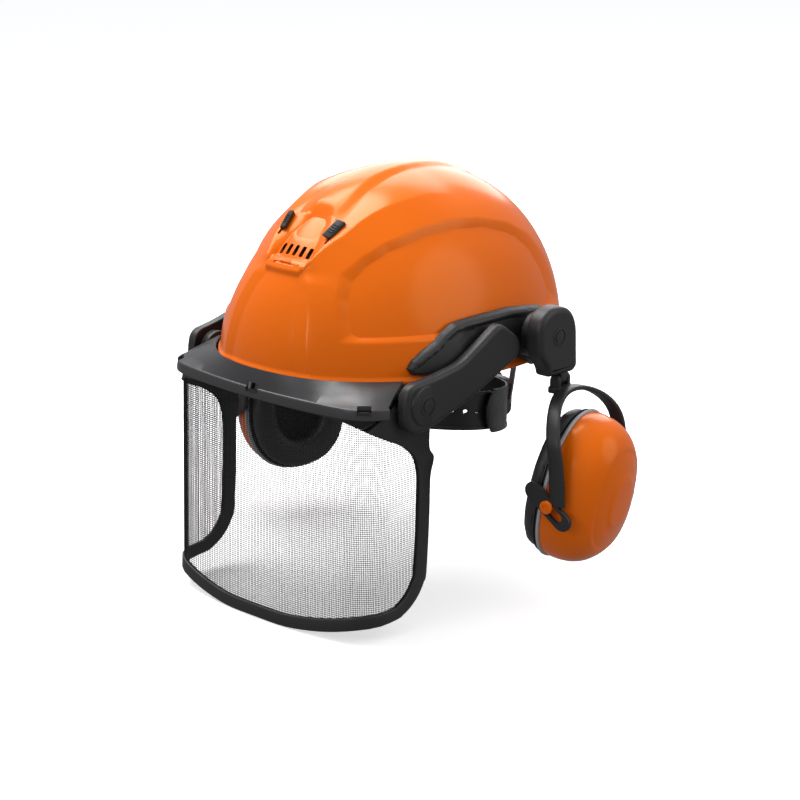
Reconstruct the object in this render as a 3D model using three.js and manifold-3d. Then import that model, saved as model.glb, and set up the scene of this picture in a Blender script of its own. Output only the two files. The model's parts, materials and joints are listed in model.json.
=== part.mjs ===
// Forestry helmet with a mesh visor and ear muffs.
// Millimetres. +X is the wearer's left, -Y the front, +Z up.
// The origin is the centre of the shell's rim, which is where the head sits.
import * as THREE from "three";
import { mergeVertices } from "three/addons/utils/BufferGeometryUtils.js";
import Module from "manifold-3d";

const wasm = await Module();
wasm.setup();

const GAP = 0.3; // between two solids that touch
const RUN = 0.35; // radial clearance of a pin that turns

// ---------------------------------------------------------------- driving dimensions
const SHELL = {
  halfWidth: 109.2,
  front: 141.8,
  rear: 137.7,
  height: 135.6,
  shift: -1.6, // of the plan's centre, along Y
  lift: 2.6, // of the rim at the front
  thick: 3,
  around: 40,
  up: 7,
};
const VENT = { y: -110.2, z: 85.6, slots: 5, pitch: 6.2, width: 2.6, length: 8.5 };
const SHUTTER = { low: 5.5, high: 30, halfWidth: 27, thick: 1.5, below: 11.6, travel: 11 };
const BUTTON = { x: 23.8, along: 24, out: -0.4, width: 7, length: 13, height: 2.6, stem: 4 };
const CARRIER = { inner: 0.6, outer: 4.8 };
const ARM = { inner: 114.2, outer: 123, boss: 103.8, bossRadius: 13, pivot: [-22.5, 19] };
const ARM_LEAN = { slope: 0.1, from: -15 }; // the arms lean in towards the front
const HINGE = { y: -90.7, z: -9.4, radius: 5, capRadius: 7.6, capDepth: 4, inner: 98.4 };
const VISOR = {
  front: -151,
  halfWidth: 106,
  frontRadius: 420,
  cornerRadius: 30,
  frameInset: 3, // the frame's outer face behind the ledge's
  frameThick: 4,
  meshThick: 1,
};
const LEDGE = { end: 118, z: -8, wall: 8, wallThick: 2.5, rimGap: 3.4, lap: 0.6, thick: 2.6 };
const BLOCK = { inner: 125, outer: 139, back: 114.4, backRadius: 15, pin: [24, 25] };
const BLOCK_PIN = { radius: 7, inner: 110 };
const NECK = { x: 132, y: 35.2, z: -9.6 }; // hinge of the yoke under the block
// How each muff hangs at rest, in degrees: turned to the rear, and swung out from the head.
const HANG = { left: { yaw: 9, swing: 0 }, right: { yaw: 20, swing: 6 } };
const YOKE = { span: 47.2, arch: 33.5, archZ: -40, out: 29, thick: 3.6 };
const CUP = { out: 15, down: -77.5, tilt: 10, halfWidth: 42.5, halfHeight: 57, depth: 42, thick: 2.5 };
const CUP_PIN = { out: 21, down: -82, radius: 3.2, headRadius: 4.7, travel: 11 };
const SLOT_SLOPE = -38; // degrees, of the link at the foot of the yoke
const BAND = { halfWidth: 72, halfLength: 90, z: -40, slope: -0.2, height: 30, thick: 1.6 };
const NAPE_GAP = 2.4;

const COLOURS = {
  orange: 0xf07a1a,
  black: 0x1c1d1f,
  satin: 0x2b2c2e,
  grey: 0x9a9c9e,
  foam: 0x3a3a3c,
  steel: 0x8c9094,
};
const FINISH = {
  orange: [0.25, 0],
  black: [0.6, 0],
  satin: [0.45, 0],
  grey: [0.5, 0],
  foam: [0.95, 0],
  steel: [0.35, 1],
};

const helmet = new THREE.Group();
const radians = THREE.MathUtils.degToRad;

// ---------------------------------------------------------------- making solids

function meshOf(name, geometry, finish, parent = helmet) {
  const [roughness, metalness] = FINISH[finish];
  const material = new THREE.MeshStandardMaterial({ color: COLOURS[finish], roughness, metalness });
  const mesh = new THREE.Mesh(geometry, material);
  mesh.name = name;
  parent.add(mesh);
  return mesh;
}

function solidOf(geometry) {
  const bare = geometry.clone();
  bare.deleteAttribute("normal");
  bare.deleteAttribute("uv");
  const merged = mergeVertices(bare, 1e-4);
  const order = merged.index.array;
  return new wasm.Manifold(
    new wasm.Mesh({
      numProp: 3,
      vertProperties: Float32Array.from(merged.attributes.position.array),
      triVerts: Uint32Array.from(order),
    }),
  );
}

function geometryOf(solid) {
  const found = solid.getMesh();
  const geometry = new THREE.BufferGeometry();
  geometry.setAttribute("position", new THREE.BufferAttribute(found.vertProperties, 3));
  geometry.setIndex(new THREE.BufferAttribute(found.triVerts, 1));
  return geometry;
}

function join(...geometries) {
  return geometryOf(geometries.map(solidOf).reduce((all, one) => all.add(one)));
}

function cut(geometry, ...tools) {
  return geometryOf(tools.map(solidOf).reduce((left, tool) => left.subtract(tool), solidOf(geometry)));
}

// A closed body through rings of points. The ends are closed with a fan to a pole, or to the
// ring's first point, and a loop joins its last ring to its first.
function loft(rings, { loop = false, poles = [null, null] } = {}) {
  const count = rings[0].length;
  const points = rings.flat();
  const faces = [];
  for (let i = 0; i < rings.length - (loop ? 0 : 1); i++) {
    const here = i * count;
    const next = ((i + 1) % rings.length) * count;
    for (let j = 0; j < count; j++) {
      const k = (j + 1) % count;
      faces.push(here + j, here + k, next + k, here + j, next + k, next + j);
    }
  }
  if (!loop)
    [0, rings.length - 1].forEach((ring, end) => {
      const start = ring * count;
      let centre = start;
      if (poles[end]) centre = points.push(poles[end]) - 1;
      for (let j = poles[end] ? 0 : 1; j < count - (poles[end] ? 0 : 1); j++) {
        const pair = [start + j, start + ((j + 1) % count)];
        faces.push(centre, pair[1 - end], pair[end]);
      }
    });
  const geometry = new THREE.BufferGeometry().setFromPoints(points);
  geometry.setIndex(volumeOf(points, faces) < 0 ? faces.reverse() : faces);
  return geometry;
}

function volumeOf(points, faces) {
  let sum = 0;
  const across = new THREE.Vector3();
  for (let i = 0; i < faces.length; i += 3) {
    across.crossVectors(points[faces[i]], points[faces[i + 1]]);
    sum += across.dot(points[faces[i + 2]]);
  }
  return sum;
}

const at = (x, y, z) => new THREE.Vector3(x, y, z);

// Corners [u, v, radius] as a closed outline, each corner rounded with a short curve.
function outlineOf(corners, steps = 3) {
  const shape = [];
  corners.forEach(([u, v, radius], i) => {
    const corner = new THREE.Vector2(u, v);
    const [before, after] = [i - 1, i + 1].map((j) => {
      const other = corners.at(j % corners.length);
      const way = new THREE.Vector2(other[0], other[1]).sub(corner);
      const back = Math.min(radius, 0.48 * way.length());
      return corner.clone().addScaledVector(way.normalize(), back);
    });
    if (!radius) shape.push(corner);
    else shape.push(...new THREE.QuadraticBezierCurve(before, corner, after).getPoints(steps));
  });
  return shape;
}

// An outline in (y, z) pushed along X from low to high, its edges broken by a bevel.
function plateX(outline, low, high, { bevel = 0, holes = [] } = {}) {
  const shape = new THREE.Shape(outline);
  holes.forEach((hole) => shape.holes.push(new THREE.Path(hole)));
  const geometry = new THREE.ExtrudeGeometry(shape, {
    depth: high - low - 2 * bevel,
    bevelEnabled: bevel > 0,
    bevelThickness: bevel,
    bevelSize: bevel,
    bevelOffset: -bevel,
    bevelSegments: 1,
    steps: 1,
  });
  geometry.translate(0, 0, low + bevel);
  return geometry.applyMatrix4(new THREE.Matrix4().makeBasis(at(0, 1, 0), at(0, 0, 1), at(1, 0, 0)));
}

function rodX(radius, low, high, y, z, sides = 16) {
  const rod = new THREE.CylinderGeometry(radius, radius, high - low, sides);
  return rod.rotateZ(-Math.PI / 2).translate((low + high) / 2, y, z);
}

function rodY(radius, low, high, x, z, sides = 12) {
  const rod = new THREE.CylinderGeometry(radius, radius, high - low, sides);
  return rod.translate(x, (low + high) / 2, z);
}

function boxAt(low, high) {
  const [x, y, z] = high.map((value, i) => value - low[i]);
  const box = new THREE.BoxGeometry(x, y, z);
  return box.translate(...high.map((value, i) => (value + low[i]) / 2));
}

// A closed superellipse in two axes, from the given point maker.
function ringOf(count, make) {
  return Array.from({ length: count }, (_, i) => make((i / count) * 2 * Math.PI));
}

function superellipse(angle, wide, high, power) {
  const [c, s] = [Math.cos(angle), Math.sin(angle)];
  const reach = (Math.abs(c / wide) ** power + Math.abs(s / high) ** power) ** (-1 / power);
  return [reach * c, reach * s];
}

// ---------------------------------------------------------------- the shell's surface

// The dome's point at an angle round the plan (front at -90 degrees) and a height angle,
// on the outer surface moved outwards by grow.
function domePoint(angle, height, grow = 0) {
  const [c, s] = [Math.cos(angle), Math.sin(angle)];
  const ahead = 1 / (1 + Math.exp(s / 0.25));
  const long = (SHELL.front * ahead + SHELL.rear * (1 - ahead)) + grow;
  const [x, y] = superellipse(angle, SHELL.halfWidth + grow, long, 2.19 + 0.06 * ahead);
  const [toFront, toRear] = [Math.max(-s, 0) ** 2, Math.max(s, 0) ** 2];
  const brow = 0.12 * toFront ** 6; // the front's middle is fuller
  const power = 1.83 * toFront + 2.25 * toRear + 1.97 * c * c + brow;
  const flat = Math.cos(height) ** (2 / power);
  const rise = Math.max(Math.sin(height), 0) ** (2 / power);
  const taper = 1 - 0.03 * Math.min(Math.max(-y / 140, 0), 1) ** 2;
  const rim = SHELL.lift * toFront * (1 - Math.sin(height));
  return at(x * flat * taper, SHELL.shift + y * flat, (SHELL.height + grow) * rise + rim);
}

function domeRings(grow, levels) {
  return levels.map((height) => ringOf(SHELL.around, (angle) => domePoint(angle, height, grow)));
}

const LEVELS = Array.from({ length: SHELL.up }, (_, i) => (i / SHELL.up) * (Math.PI / 2));
const apexOf = (grow) => at(0, SHELL.shift, SHELL.height + grow);

// A solid dome, its foot sunk under the rim, for trimming what lies against the shell.
function domeSolid(grow) {
  const foot = domeRings(grow, [0])[0].map((p) => at(p.x, p.y, -40));
  const rings = [foot, ...domeRings(grow, LEVELS)];
  return loft(rings, { poles: [at(0, SHELL.shift, -40), apexOf(grow)] });
}

// Directions at the front vents: along the dome upwards, and out of it.
const ventSlope = (() => {
  const angle = -Math.PI / 2;
  const [low, high] = [0.7, 0.86].map((height) => domePoint(angle, height));
  return high.sub(low).normalize();
})();
const ventOut = at(0, -ventSlope.z, ventSlope.y);

function atVent(x, along, out) {
  const point = at(x, VENT.y, VENT.z);
  return point.addScaledVector(ventSlope, along).addScaledVector(ventOut, out);
}

// A box in the vent's own directions: across X, along the slope and out of the dome.
function ventBox(x, along, out, [wide, long, high]) {
  const box = new THREE.BoxGeometry(wide, long, high);
  const turn = new THREE.Matrix4().makeBasis(at(1, 0, 0), ventSlope, ventOut);
  return box.applyMatrix4(turn.setPosition(atVent(x, along, out)));
}

function makeShell() {
  const inner = domeRings(-SHELL.thick, LEVELS).reverse();
  const outer = domeRings(0, LEVELS);
  const bowl = loft([...inner, ...outer], { poles: [apexOf(-SHELL.thick), apexOf(0)] });
  const slots = Array.from({ length: VENT.slots }, (_, i) => {
    const x = (i - (VENT.slots - 1) / 2) * VENT.pitch;
    return ventBox(x, 0, 0, [VENT.width, VENT.length, 22]);
  });
  const reach = BUTTON.stem + SHUTTER.travel + 2;
  const middle = BUTTON.along - SHUTTER.travel / 2;
  for (const side of [-1, 1])
    slots.push(ventBox(side * BUTTON.x, middle, -4, [BUTTON.stem + 1, reach, 18]));
  meshOf("helmet_shell", cut(bowl, ...slots), "orange");
}

// The shutter lies under the vents. Its two stems come up through the shell to the buttons.
function makeShutter() {
  const middle = (SHUTTER.low + SHUTTER.high) / 2;
  const size = [2 * SHUTTER.halfWidth, SHUTTER.high - SHUTTER.low, SHUTTER.thick];
  meshOf("vent_shutter", ventBox(0, middle, -SHUTTER.below, size), "satin");
  const top = BUTTON.out;
  for (const [name, side] of [["left", 1], ["right", -1]]) {
    const low = -SHUTTER.below + SHUTTER.thick / 2 + GAP;
    const x = side * BUTTON.x;
    const stem = ventBox(x, BUTTON.along, (low + top) / 2, [BUTTON.stem, BUTTON.stem, top - low]);
    const pad = ventBox(x, BUTTON.along, top + BUTTON.height / 2 - 0.1, [
      BUTTON.width,
      BUTTON.length,
      BUTTON.height,
    ]);
    meshOf(`vent_button_${name}`, join(stem, pad), "satin");
  }
}

// ---------------------------------------------------------------- harness in the shell

const STRAP_PROFILE = new THREE.SplineCurve(
  [[0.915, -4], [0.9, 22], [0.83, 48], [0.66, 76], [0.4, 95], [0, 103]].map(
    ([out, z]) => new THREE.Vector2(out, z),
  ),
);

// A web strap over the crown between two clips, in the upright plane at an angle round the plan.
function makeStrap(name, degrees, lift) {
  const angle = radians(degrees);
  const side = at(-Math.sin(angle), Math.cos(angle), 0).multiplyScalar(10);
  const half = STRAP_PROFILE.getPoints(10);
  const path = [];
  for (const [turn, list] of [[0, half], [Math.PI, half.slice(0, -1).reverse()]])
    for (const { x: out, y: z } of list) {
      const rim = domePoint(angle + turn, 0, -SHELL.thick);
      const drop = lift * Math.max(z, 0) / 103;
      path.push(at(rim.x * out, rim.y * out, z + drop));
    }
  const rings = path.map((point, i) => {
    const ahead = path[Math.min(i + 1, path.length - 1)].clone().sub(path[Math.max(i - 1, 0)]);
    const out = ahead.cross(side).normalize().multiplyScalar(0.6);
    if (out.z < 0) out.negate();
    if (Math.abs(out.z) < 0.3 && out.dot(at(point.x, point.y, 0)) < 0) out.negate();
    return [
      point.clone().add(side).add(out),
      point.clone().sub(side).add(out),
      point.clone().sub(side).sub(out),
      point.clone().add(side).sub(out),
    ];
  });
  meshOf(name, loft(rings), "satin");
}

// A clip holds each strap's end to the shell's inner wall.
function makeClip(name, degrees) {
  const angle = radians(degrees);
  const rim = domePoint(angle, 0.16, -SHELL.thick);
  const [ahead, behind] = [0.02, -0.02].map((step) => domePoint(angle + step, 0, -SHELL.thick));
  const along = ahead.sub(behind).setZ(0).normalize();
  const out = at(along.y, -along.x, 0);
  const clip = new THREE.BoxGeometry(22, 3, 18);
  const place = new THREE.Matrix4().makeBasis(along, out.clone().negate(), at(0, 0, 1));
  place.setPosition(rim.addScaledVector(out, -3).setZ(rim.z - 10));
  meshOf(name, clip.applyMatrix4(place), "black");
}

const bandZ = (y) => BAND.z + BAND.slope * y;

// A stretch of head band between two angles round the plan, offset outwards from the band's line.
function bandOf(from, to, offset, thick, height, { steps = 24, shift = 0 } = {}) {
  const rings = [];
  for (let i = 0; i <= steps; i++) {
    const angle = radians(from + ((to - from) * i) / steps);
    const [c, s] = [Math.cos(angle), Math.sin(angle)];
    const point = at(BAND.halfWidth * c, BAND.halfLength * s, 0);
    const out = at(c / BAND.halfWidth, s / BAND.halfLength, 0).normalize();
    const near = point.clone().addScaledVector(out, offset);
    const far = point.clone().addScaledVector(out, offset + thick);
    const z = bandZ(point.y) + shift;
    rings.push([
      near.clone().setZ(z - height / 2),
      far.clone().setZ(z - height / 2),
      far.clone().setZ(z + height / 2),
      near.clone().setZ(z + height / 2),
    ]);
  }
  return loft(rings);
}

function makeHeadband() {
  meshOf("headband", bandOf(-225, 45, 0, BAND.thick, BAND.height, { steps: 30 }), "black");
  meshOf("sweatband", bandOf(-150, -30, -5.4, 5, BAND.height + 4, { steps: 14 }), "foam");
  const outside = BAND.thick + NAPE_GAP;
  meshOf("nape_band", bandOf(12, 168, outside, 2, 34, { steps: 20 }), "black");
  const rear = BAND.halfLength + outside + 2;
  const z = bandZ(BAND.halfLength);
  const face = outlineOf([[-30, -16, 6], [30, -16, 6], [30, 16, 6], [-30, 16, 6]]);
  const housing = new THREE.ExtrudeGeometry(new THREE.Shape(face), { depth: 9, bevelEnabled: false });
  housing.rotateX(Math.PI / 2).translate(0, rear + 9 + GAP, z);
  const well = rodY(9, rear + 2.5, rear + 12, 0, z, 20);
  meshOf("ratchet_housing", cut(housing, well), "black");
  meshOf("ratchet_pinion", gearY(8, 10, rear + 3, rear + 9 + GAP, z), "satin");
  const knob = knobOf(17, 9, rear + 9 + 2 * GAP + 0.1, z);
  meshOf("ratchet_knob", knob, "black");
}

function gearY(radius, teeth, low, high, z) {
  const outline = ringOf(teeth * 2, (angle) => {
    const reach = Math.round((angle / Math.PI) * teeth) % 2 ? radius : radius - 1.6;
    return new THREE.Vector2(reach * Math.cos(angle), reach * Math.sin(angle));
  });
  const gear = new THREE.ExtrudeGeometry(new THREE.Shape(outline), {
    depth: high - low,
    bevelEnabled: false,
  });
  return gear.rotateX(Math.PI / 2).translate(0, high, z);
}

// The wheel that tightens the band, with grip lobes round its edge.
function knobOf(radius, lobes, low, z) {
  const outline = ringOf(lobes * 4, (angle) => {
    const reach = radius - 0.8 + 0.8 * Math.cos(angle * lobes);
    return new THREE.Vector2(reach * Math.cos(angle), reach * Math.sin(angle));
  });
  const wheel = new THREE.ExtrudeGeometry(new THREE.Shape(outline), {
    depth: 8,
    bevelEnabled: true,
    bevelThickness: 1.5,
    bevelSize: 1.5,
    bevelOffset: -1.5,
    bevelSegments: 1,
  });
  return wheel.rotateX(Math.PI / 2).translate(0, low + 9.5, z);
}

// The strap that hangs the nape band from the shell's rear, on each side.
function makeNapeStrap(name, side) {
  const top = at(side * 50, 84, 10);
  const foot = at(side * 46.4, 79.5, -52);
  const along = at(-side * 0.75, 0.66, 0).multiplyScalar(9);
  const out = at(side * 0.66, 0.75, 0).multiplyScalar(0.7);
  const rings = [0, 0.35, 0.7, 1].map((t) => {
    const point = top.clone().lerp(foot, t);
    return [[1, 1], [-1, 1], [-1, -1], [1, -1]].map(([u, v]) =>
      point.clone().addScaledVector(along, u).addScaledVector(out, v),
    );
  });
  meshOf(name, loft(rings), "grey");
}

// ---------------------------------------------------------------- visor

// The visor's plan: a shallow front arc, a round corner and a straight side. Distance along it
// is counted from the middle; offset moves the point out of the visor.
const PLAN = (() => {
  const middle = VISOR.front + VISOR.frontRadius;
  const inset = VISOR.halfWidth - VISOR.cornerRadius;
  const reach = VISOR.frontRadius - VISOR.cornerRadius;
  const cornerY = middle - Math.sqrt(reach ** 2 - inset ** 2);
  const turn = Math.asin(inset / reach);
  const frontLength = turn * VISOR.frontRadius;
  const cornerLength = (Math.PI / 2 - turn) * VISOR.cornerRadius;
  return { middle, inset, cornerY, turn, frontLength, cornerLength };
})();

function planPoint(distance, offset, z) {
  const side = Math.sign(distance) || 1;
  const run = Math.abs(distance);
  const { middle, inset, cornerY, turn, frontLength, cornerLength } = PLAN;
  if (run <= frontLength) {
    const angle = run / VISOR.frontRadius;
    const reach = VISOR.frontRadius + offset;
    return at(side * reach * Math.sin(angle), middle - reach * Math.cos(angle), z);
  }
  if (run <= frontLength + cornerLength) {
    const angle = turn + (run - frontLength) / VISOR.cornerRadius;
    const reach = VISOR.cornerRadius + offset;
    return at(side * (inset + reach * Math.sin(angle)), cornerY - reach * Math.cos(angle), z);
  }
  const y = cornerY + run - frontLength - cornerLength;
  return at(side * (VISOR.halfWidth + offset), y, z);
}

// Where the hinge lies along the plan.
const EAR = PLAN.frontLength + PLAN.cornerLength + HINGE.y - PLAN.cornerY;

// Half of the frame, from the middle of the chin round to the middle of the brow: each station
// has its outer and its inner edge as [distance, z].
function frameStations() {
  const stations = [
    [[0, -183], [0, -173.5]],
    [[32, -183], [32, -173.5]],
    [[64, -178.5], [64, -169]],
    [[96, -172], [94, -162.5]],
  ];
  for (const degrees of [-80, -58, -36, -14]) {
    const [c, s] = [Math.cos(radians(degrees)), Math.sin(radians(degrees))];
    stations.push([[126 + 39 * c, -131 + 39 * s], [124 + 28.5 * c, -132 + 28.5 * s]]);
  }
  stations.push(
    [[165.5, -100], [153.5, -104]],
    [[165.5, -66], [153.5, -70]],
    [[169, -52], [151, -57]],
    [[161, -44], [146, -49]],
    [[EAR + 17, -22], [138, -41]],
  );
  for (const degrees of [15, 55, 100, 150, 190]) {
    const [c, s] = [Math.cos(radians(degrees)), Math.sin(radians(degrees))];
    const inner = 130 - (degrees - 15) * 0.2;
    const dip = -37 + (degrees - 15) * 0.08;
    stations.push([[EAR + 14 * c, HINGE.z + 14 * s], [inner, dip]]);
  }
  stations.push([[100, -12], [82, -19.5]], [[64, -12], [60, -18]], [[32, -12], [32, -17.6]]);
  stations.push([[0, -12], [0, -17.4]]);
  return stations;
}

function makeVisor() {
  const half = frameStations();
  const mirrored = half.slice(1, -1).reverse();
  const stations = [...half, ...mirrored.map((pair) => pair.map(([run, z]) => [-run, z]))];
  const [face, back] = [-VISOR.frameInset, -VISOR.frameInset - VISOR.frameThick];
  const rings = stations.map(([outer, inner]) => [
    planPoint(outer[0], face, outer[1]),
    planPoint(inner[0], face, inner[1]),
    planPoint(inner[0], back, inner[1]),
    planPoint(outer[0], back, outer[1]),
  ]);
  const bores = [-1, 1].map((side) => {
    const [low, high] = [HINGE.inner - 5, VISOR.halfWidth + 5].map((x) => x * side);
    return rodX(HINGE.radius + RUN, Math.min(low, high), Math.max(low, high), HINGE.y, HINGE.z);
  });
  meshOf("visor_frame", cut(loft(rings, { loop: true }), ...bores), "black");
  makeVisorMesh(half);
  makeLedge();
}

// The mesh fills the frame: at each distance from the middle it runs from chin edge to brow edge.
function makeVisorMesh(stations) {
  const inner = stations.map(([, edge]) => edge);
  const widest = inner.reduce((best, edge, i) => (edge[0] > inner[best][0] ? i : best), 0);
  const edgeAt = (edges, run) => {
    const i = Math.max(1, edges.findIndex((edge) => edge[0] >= run));
    const [low, high] = [edges[i - 1], edges[i]];
    return low[1] + ((high[1] - low[1]) * (run - low[0])) / (high[0] - low[0]);
  };
  const chin = inner.slice(0, widest + 1);
  const brow = inner.slice(widest).reverse();
  const end = inner[widest][0] - 1.4;
  const face = -VISOR.frameInset - VISOR.frameThick / 2 + VISOR.meshThick / 2;
  const rings = [];
  const steps = 44;
  for (let i = -steps / 2; i <= steps / 2; i++) {
    const run = (end * i) / (steps / 2);
    const low = edgeAt(chin, Math.abs(run)) + 0.7;
    const high = edgeAt(brow, Math.abs(run)) - 0.7;
    rings.push([
      planPoint(run, face, low),
      planPoint(run, face, high),
      planPoint(run, face - VISOR.meshThick, high),
      planPoint(run, face - VISOR.meshThick, low),
    ]);
  }
  meshOf("visor_mesh", loft(rings), "satin");
}

// The ledge closes the space between the shell's brow and the visor, and ends in a short wall.
function makeLedge() {
  const rings = [];
  const steps = 26;
  for (let i = -steps / 2; i <= steps / 2; i++) {
    const share = i / (steps / 2);
    const run = LEDGE.end * share;
    const angle = radians(-90 + 46 * Math.sign(share) * Math.abs(share) ** 0.92);
    const rim = domePoint(angle, 0.02, LEDGE.rimGap);
    const low = LEDGE.z - LEDGE.wall;
    rings.push([
      planPoint(run, -LEDGE.wallThick, LEDGE.z - LEDGE.thick),
      planPoint(run, -LEDGE.wallThick, low),
      planPoint(run, 0, low),
      planPoint(run, 0, LEDGE.z),
      rim.clone().setZ(rim.z + LEDGE.lap),
      rim.clone().setZ(rim.z + LEDGE.lap - LEDGE.thick),
    ]);
  }
  meshOf("visor_ledge", loft(rings), "satin");
}

// ---------------------------------------------------------------- one side's arm and muff

const CARRIER_OUTLINE = outlineOf([
  [-84, 6, 3],
  [-86, 14, 4],
  [-76, 23, 5],
  [-65, 29, 4],
  [-59, 37, 5],
  [-44, 43, 8],
  [10, 44.5, 10],
  [52, 38, 9],
  [56, -3, 5],
  [30, -3, 4],
  [20, 6, 5],
  [-50, 7, 8],
]);
const ARM_OUTLINE = outlineOf(
  [
    [-111.5, -10.5, 12],
    [-108.5, 6.5, 9],
    [-84, 9.5, 10],
    [-58, 15.5, 9],
    [-21.5, 40, 6],
    [-0.5, 25, 9],
    [-2.5, 12, 6],
    [-50, -13, 12],
    [-82.5, -25.5, 9],
    [-97.5, -30.5, 9],
    [-109.5, -24.5, 9],
  ],
  2,
);
const BLOCK_OUTLINE = outlineOf([
  [4, 13, 4],
  [2, 37, 9],
  [14, 47.5, 9],
  [35, 46, 9],
  [45, 34, 9],
  [47.5, -1, 3],
  [43, -4.6, 2],
  [15, -4.6, 3],
  [13, 2, 3],
]);

function makeCarrier(name, side) {
  const slab = plateX(CARRIER_OUTLINE, 70, SHELL.halfWidth + CARRIER.outer + 2);
  const skin = solidOf(domeSolid(CARRIER.outer)).subtract(solidOf(domeSolid(CARRIER.inner)));
  const pinHole = rodX(BLOCK_PIN.radius + RUN, 90, 130, ...BLOCK.pin);
  const armHole = rodX(6 + RUN, 90, 130, ...ARM.pivot);
  const carrier = geometryOf(solidOf(slab).intersect(skin));
  meshOf(`carrier_${name}`, cut(carrier, pinHole, armHole), "black", side);
}

function makeArm(name, side) {
  const { slope, from } = ARM_LEAN;
  const lean = new THREE.Matrix4().makeShear(0, 0, slope, 0, 0, 0).setPosition(-slope * from, 0, 0);
  const plate = plateX(ARM_OUTLINE, ARM.inner, ARM.outer, { bevel: 2 }).applyMatrix4(lean);
  const face = ARM.outer + slope * (HINGE.y - from);
  const boss = rodX(ARM.bossRadius, ARM.boss, face - 6, HINGE.y, HINGE.z);
  const bore = rodX(HINGE.radius + RUN, 90, 140, HINGE.y, HINGE.z);
  const cap = rodX(HINGE.capRadius + RUN, face - HINGE.capDepth, 140, HINGE.y, HINGE.z);
  const pivot = rodX(6 + RUN, 110, ARM.outer - 3, ...ARM.pivot);
  meshOf(`visor_arm_${name}`, cut(join(plate, boss), bore, cap, pivot), "black", side);
  const pin = rodX(6, 110.2, ARM.outer - 3 - GAP, ...ARM.pivot);
  meshOf(`visor_arm_pin_${name}`, pin, "steel", side);
  const shaft = rodX(HINGE.radius, HINGE.inner, face - 1, HINGE.y, HINGE.z);
  const head = rodX(
    HINGE.capRadius,
    face - HINGE.capDepth + GAP,
    face + 0.4,
    HINGE.y,
    HINGE.z,
    20,
  );
  meshOf(`visor_hinge_pin_${name}`, join(shaft, head), "black", side);
}

// The frame in which a muff hangs: X outwards, Y to the rear, Z up, from the neck's hinge.
function muffFrame(name, side) {
  const frame = new THREE.Group();
  frame.position.set(NECK.x, NECK.y, NECK.z);
  frame.rotation.set(0, -radians(HANG[name].swing), radians(HANG[name].yaw), "ZYX");
  side.add(frame);
  return frame;
}

// Moves a piece made round the neck's hinge to its place in the block.
function atNeck(geometry, name) {
  const turn = new THREE.Matrix4().makeRotationZ(radians(HANG[name].yaw));
  return geometry.applyMatrix4(turn.setPosition(NECK.x, NECK.y, NECK.z));
}

// The block turns on the carrier and holds the yoke's hinge on a tongue under it.
function makeBlock(name, side) {
  const plate = plateX(BLOCK_OUTLINE, BLOCK.inner, BLOCK.outer, { bevel: 2 });
  const back = rodX(BLOCK.backRadius, BLOCK.back, BLOCK.inner + 2, ...BLOCK.pin, 20);
  const lug = join(boxAt([-3.8, -4.5, 0], [3.8, 4.5, 9]), rodY(3.8, -4.5, 4.5, 0, 0));
  const tongue = atNeck(lug, name);
  const bore = rodX(BLOCK_PIN.radius + RUN, 90, 140, ...BLOCK.pin, 20);
  const hinge = atNeck(rodY(1.5 + RUN, -20, 20, 0, 0), name);
  meshOf(`muff_block_${name}`, cut(join(plate, back, tongue), bore, hinge), "black", side);
  const pin = rodX(BLOCK_PIN.radius, BLOCK_PIN.inner, BLOCK.outer + 0.4, ...BLOCK.pin, 20);
  meshOf(`muff_block_pin_${name}`, pin, "black", side);
}

// The yoke's blade runs up the front of the cup, over it under the neck and down the rear.
function yokeBlade() {
  const path = [[-YOKE.span, -88], [-YOKE.span, -64]];
  for (let degrees = 180; degrees >= 0; degrees -= 15) {
    const [c, s] = [Math.cos(radians(degrees)), Math.sin(radians(degrees))];
    path.push([YOKE.span * c, YOKE.archZ + YOKE.arch * s]);
  }
  path.push([YOKE.span, -64], [YOKE.span, -88]);
  const rings = path.map(([y, z], i) => {
    const before = path[Math.max(i - 1, 0)];
    const after = path[Math.min(i + 1, path.length - 1)];
    const way = new THREE.Vector2(after[0] - before[0], after[1] - before[1]).normalize();
    const [ny, nz] = [-way.y * (YOKE.thick / 2), way.x * (YOKE.thick / 2)];
    const out = YOKE.out * (1 - Math.exp(z / 22));
    const wide = 4.2 + 2.3 * Math.min(1, -z / 85);
    return [
      at(out - wide, y + ny, z + nz),
      at(out + wide, y + ny, z + nz),
      at(out + wide, y - ny, z - nz),
      at(out - wide, y - ny, z - nz),
    ];
  });
  return loft(rings);
}

// A stadium in (x, z) between two points, pushed along Y.
function stadiumY([x, z], length, radius, low, high) {
  const shape = new THREE.Shape();
  shape.absarc(0, 0, radius, Math.PI / 2, 1.5 * Math.PI, false);
  shape.absarc(length, 0, radius, -Math.PI / 2, Math.PI / 2, false);
  const stadium = new THREE.ExtrudeGeometry(shape, {
    depth: high - low,
    bevelEnabled: false,
    curveSegments: 5,
  });
  return stadium
    .rotateX(Math.PI / 2)
    .translate(0, high, 0)
    .rotateY(-radians(SLOT_SLOPE))
    .translate(x, 0, z);
}

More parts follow.
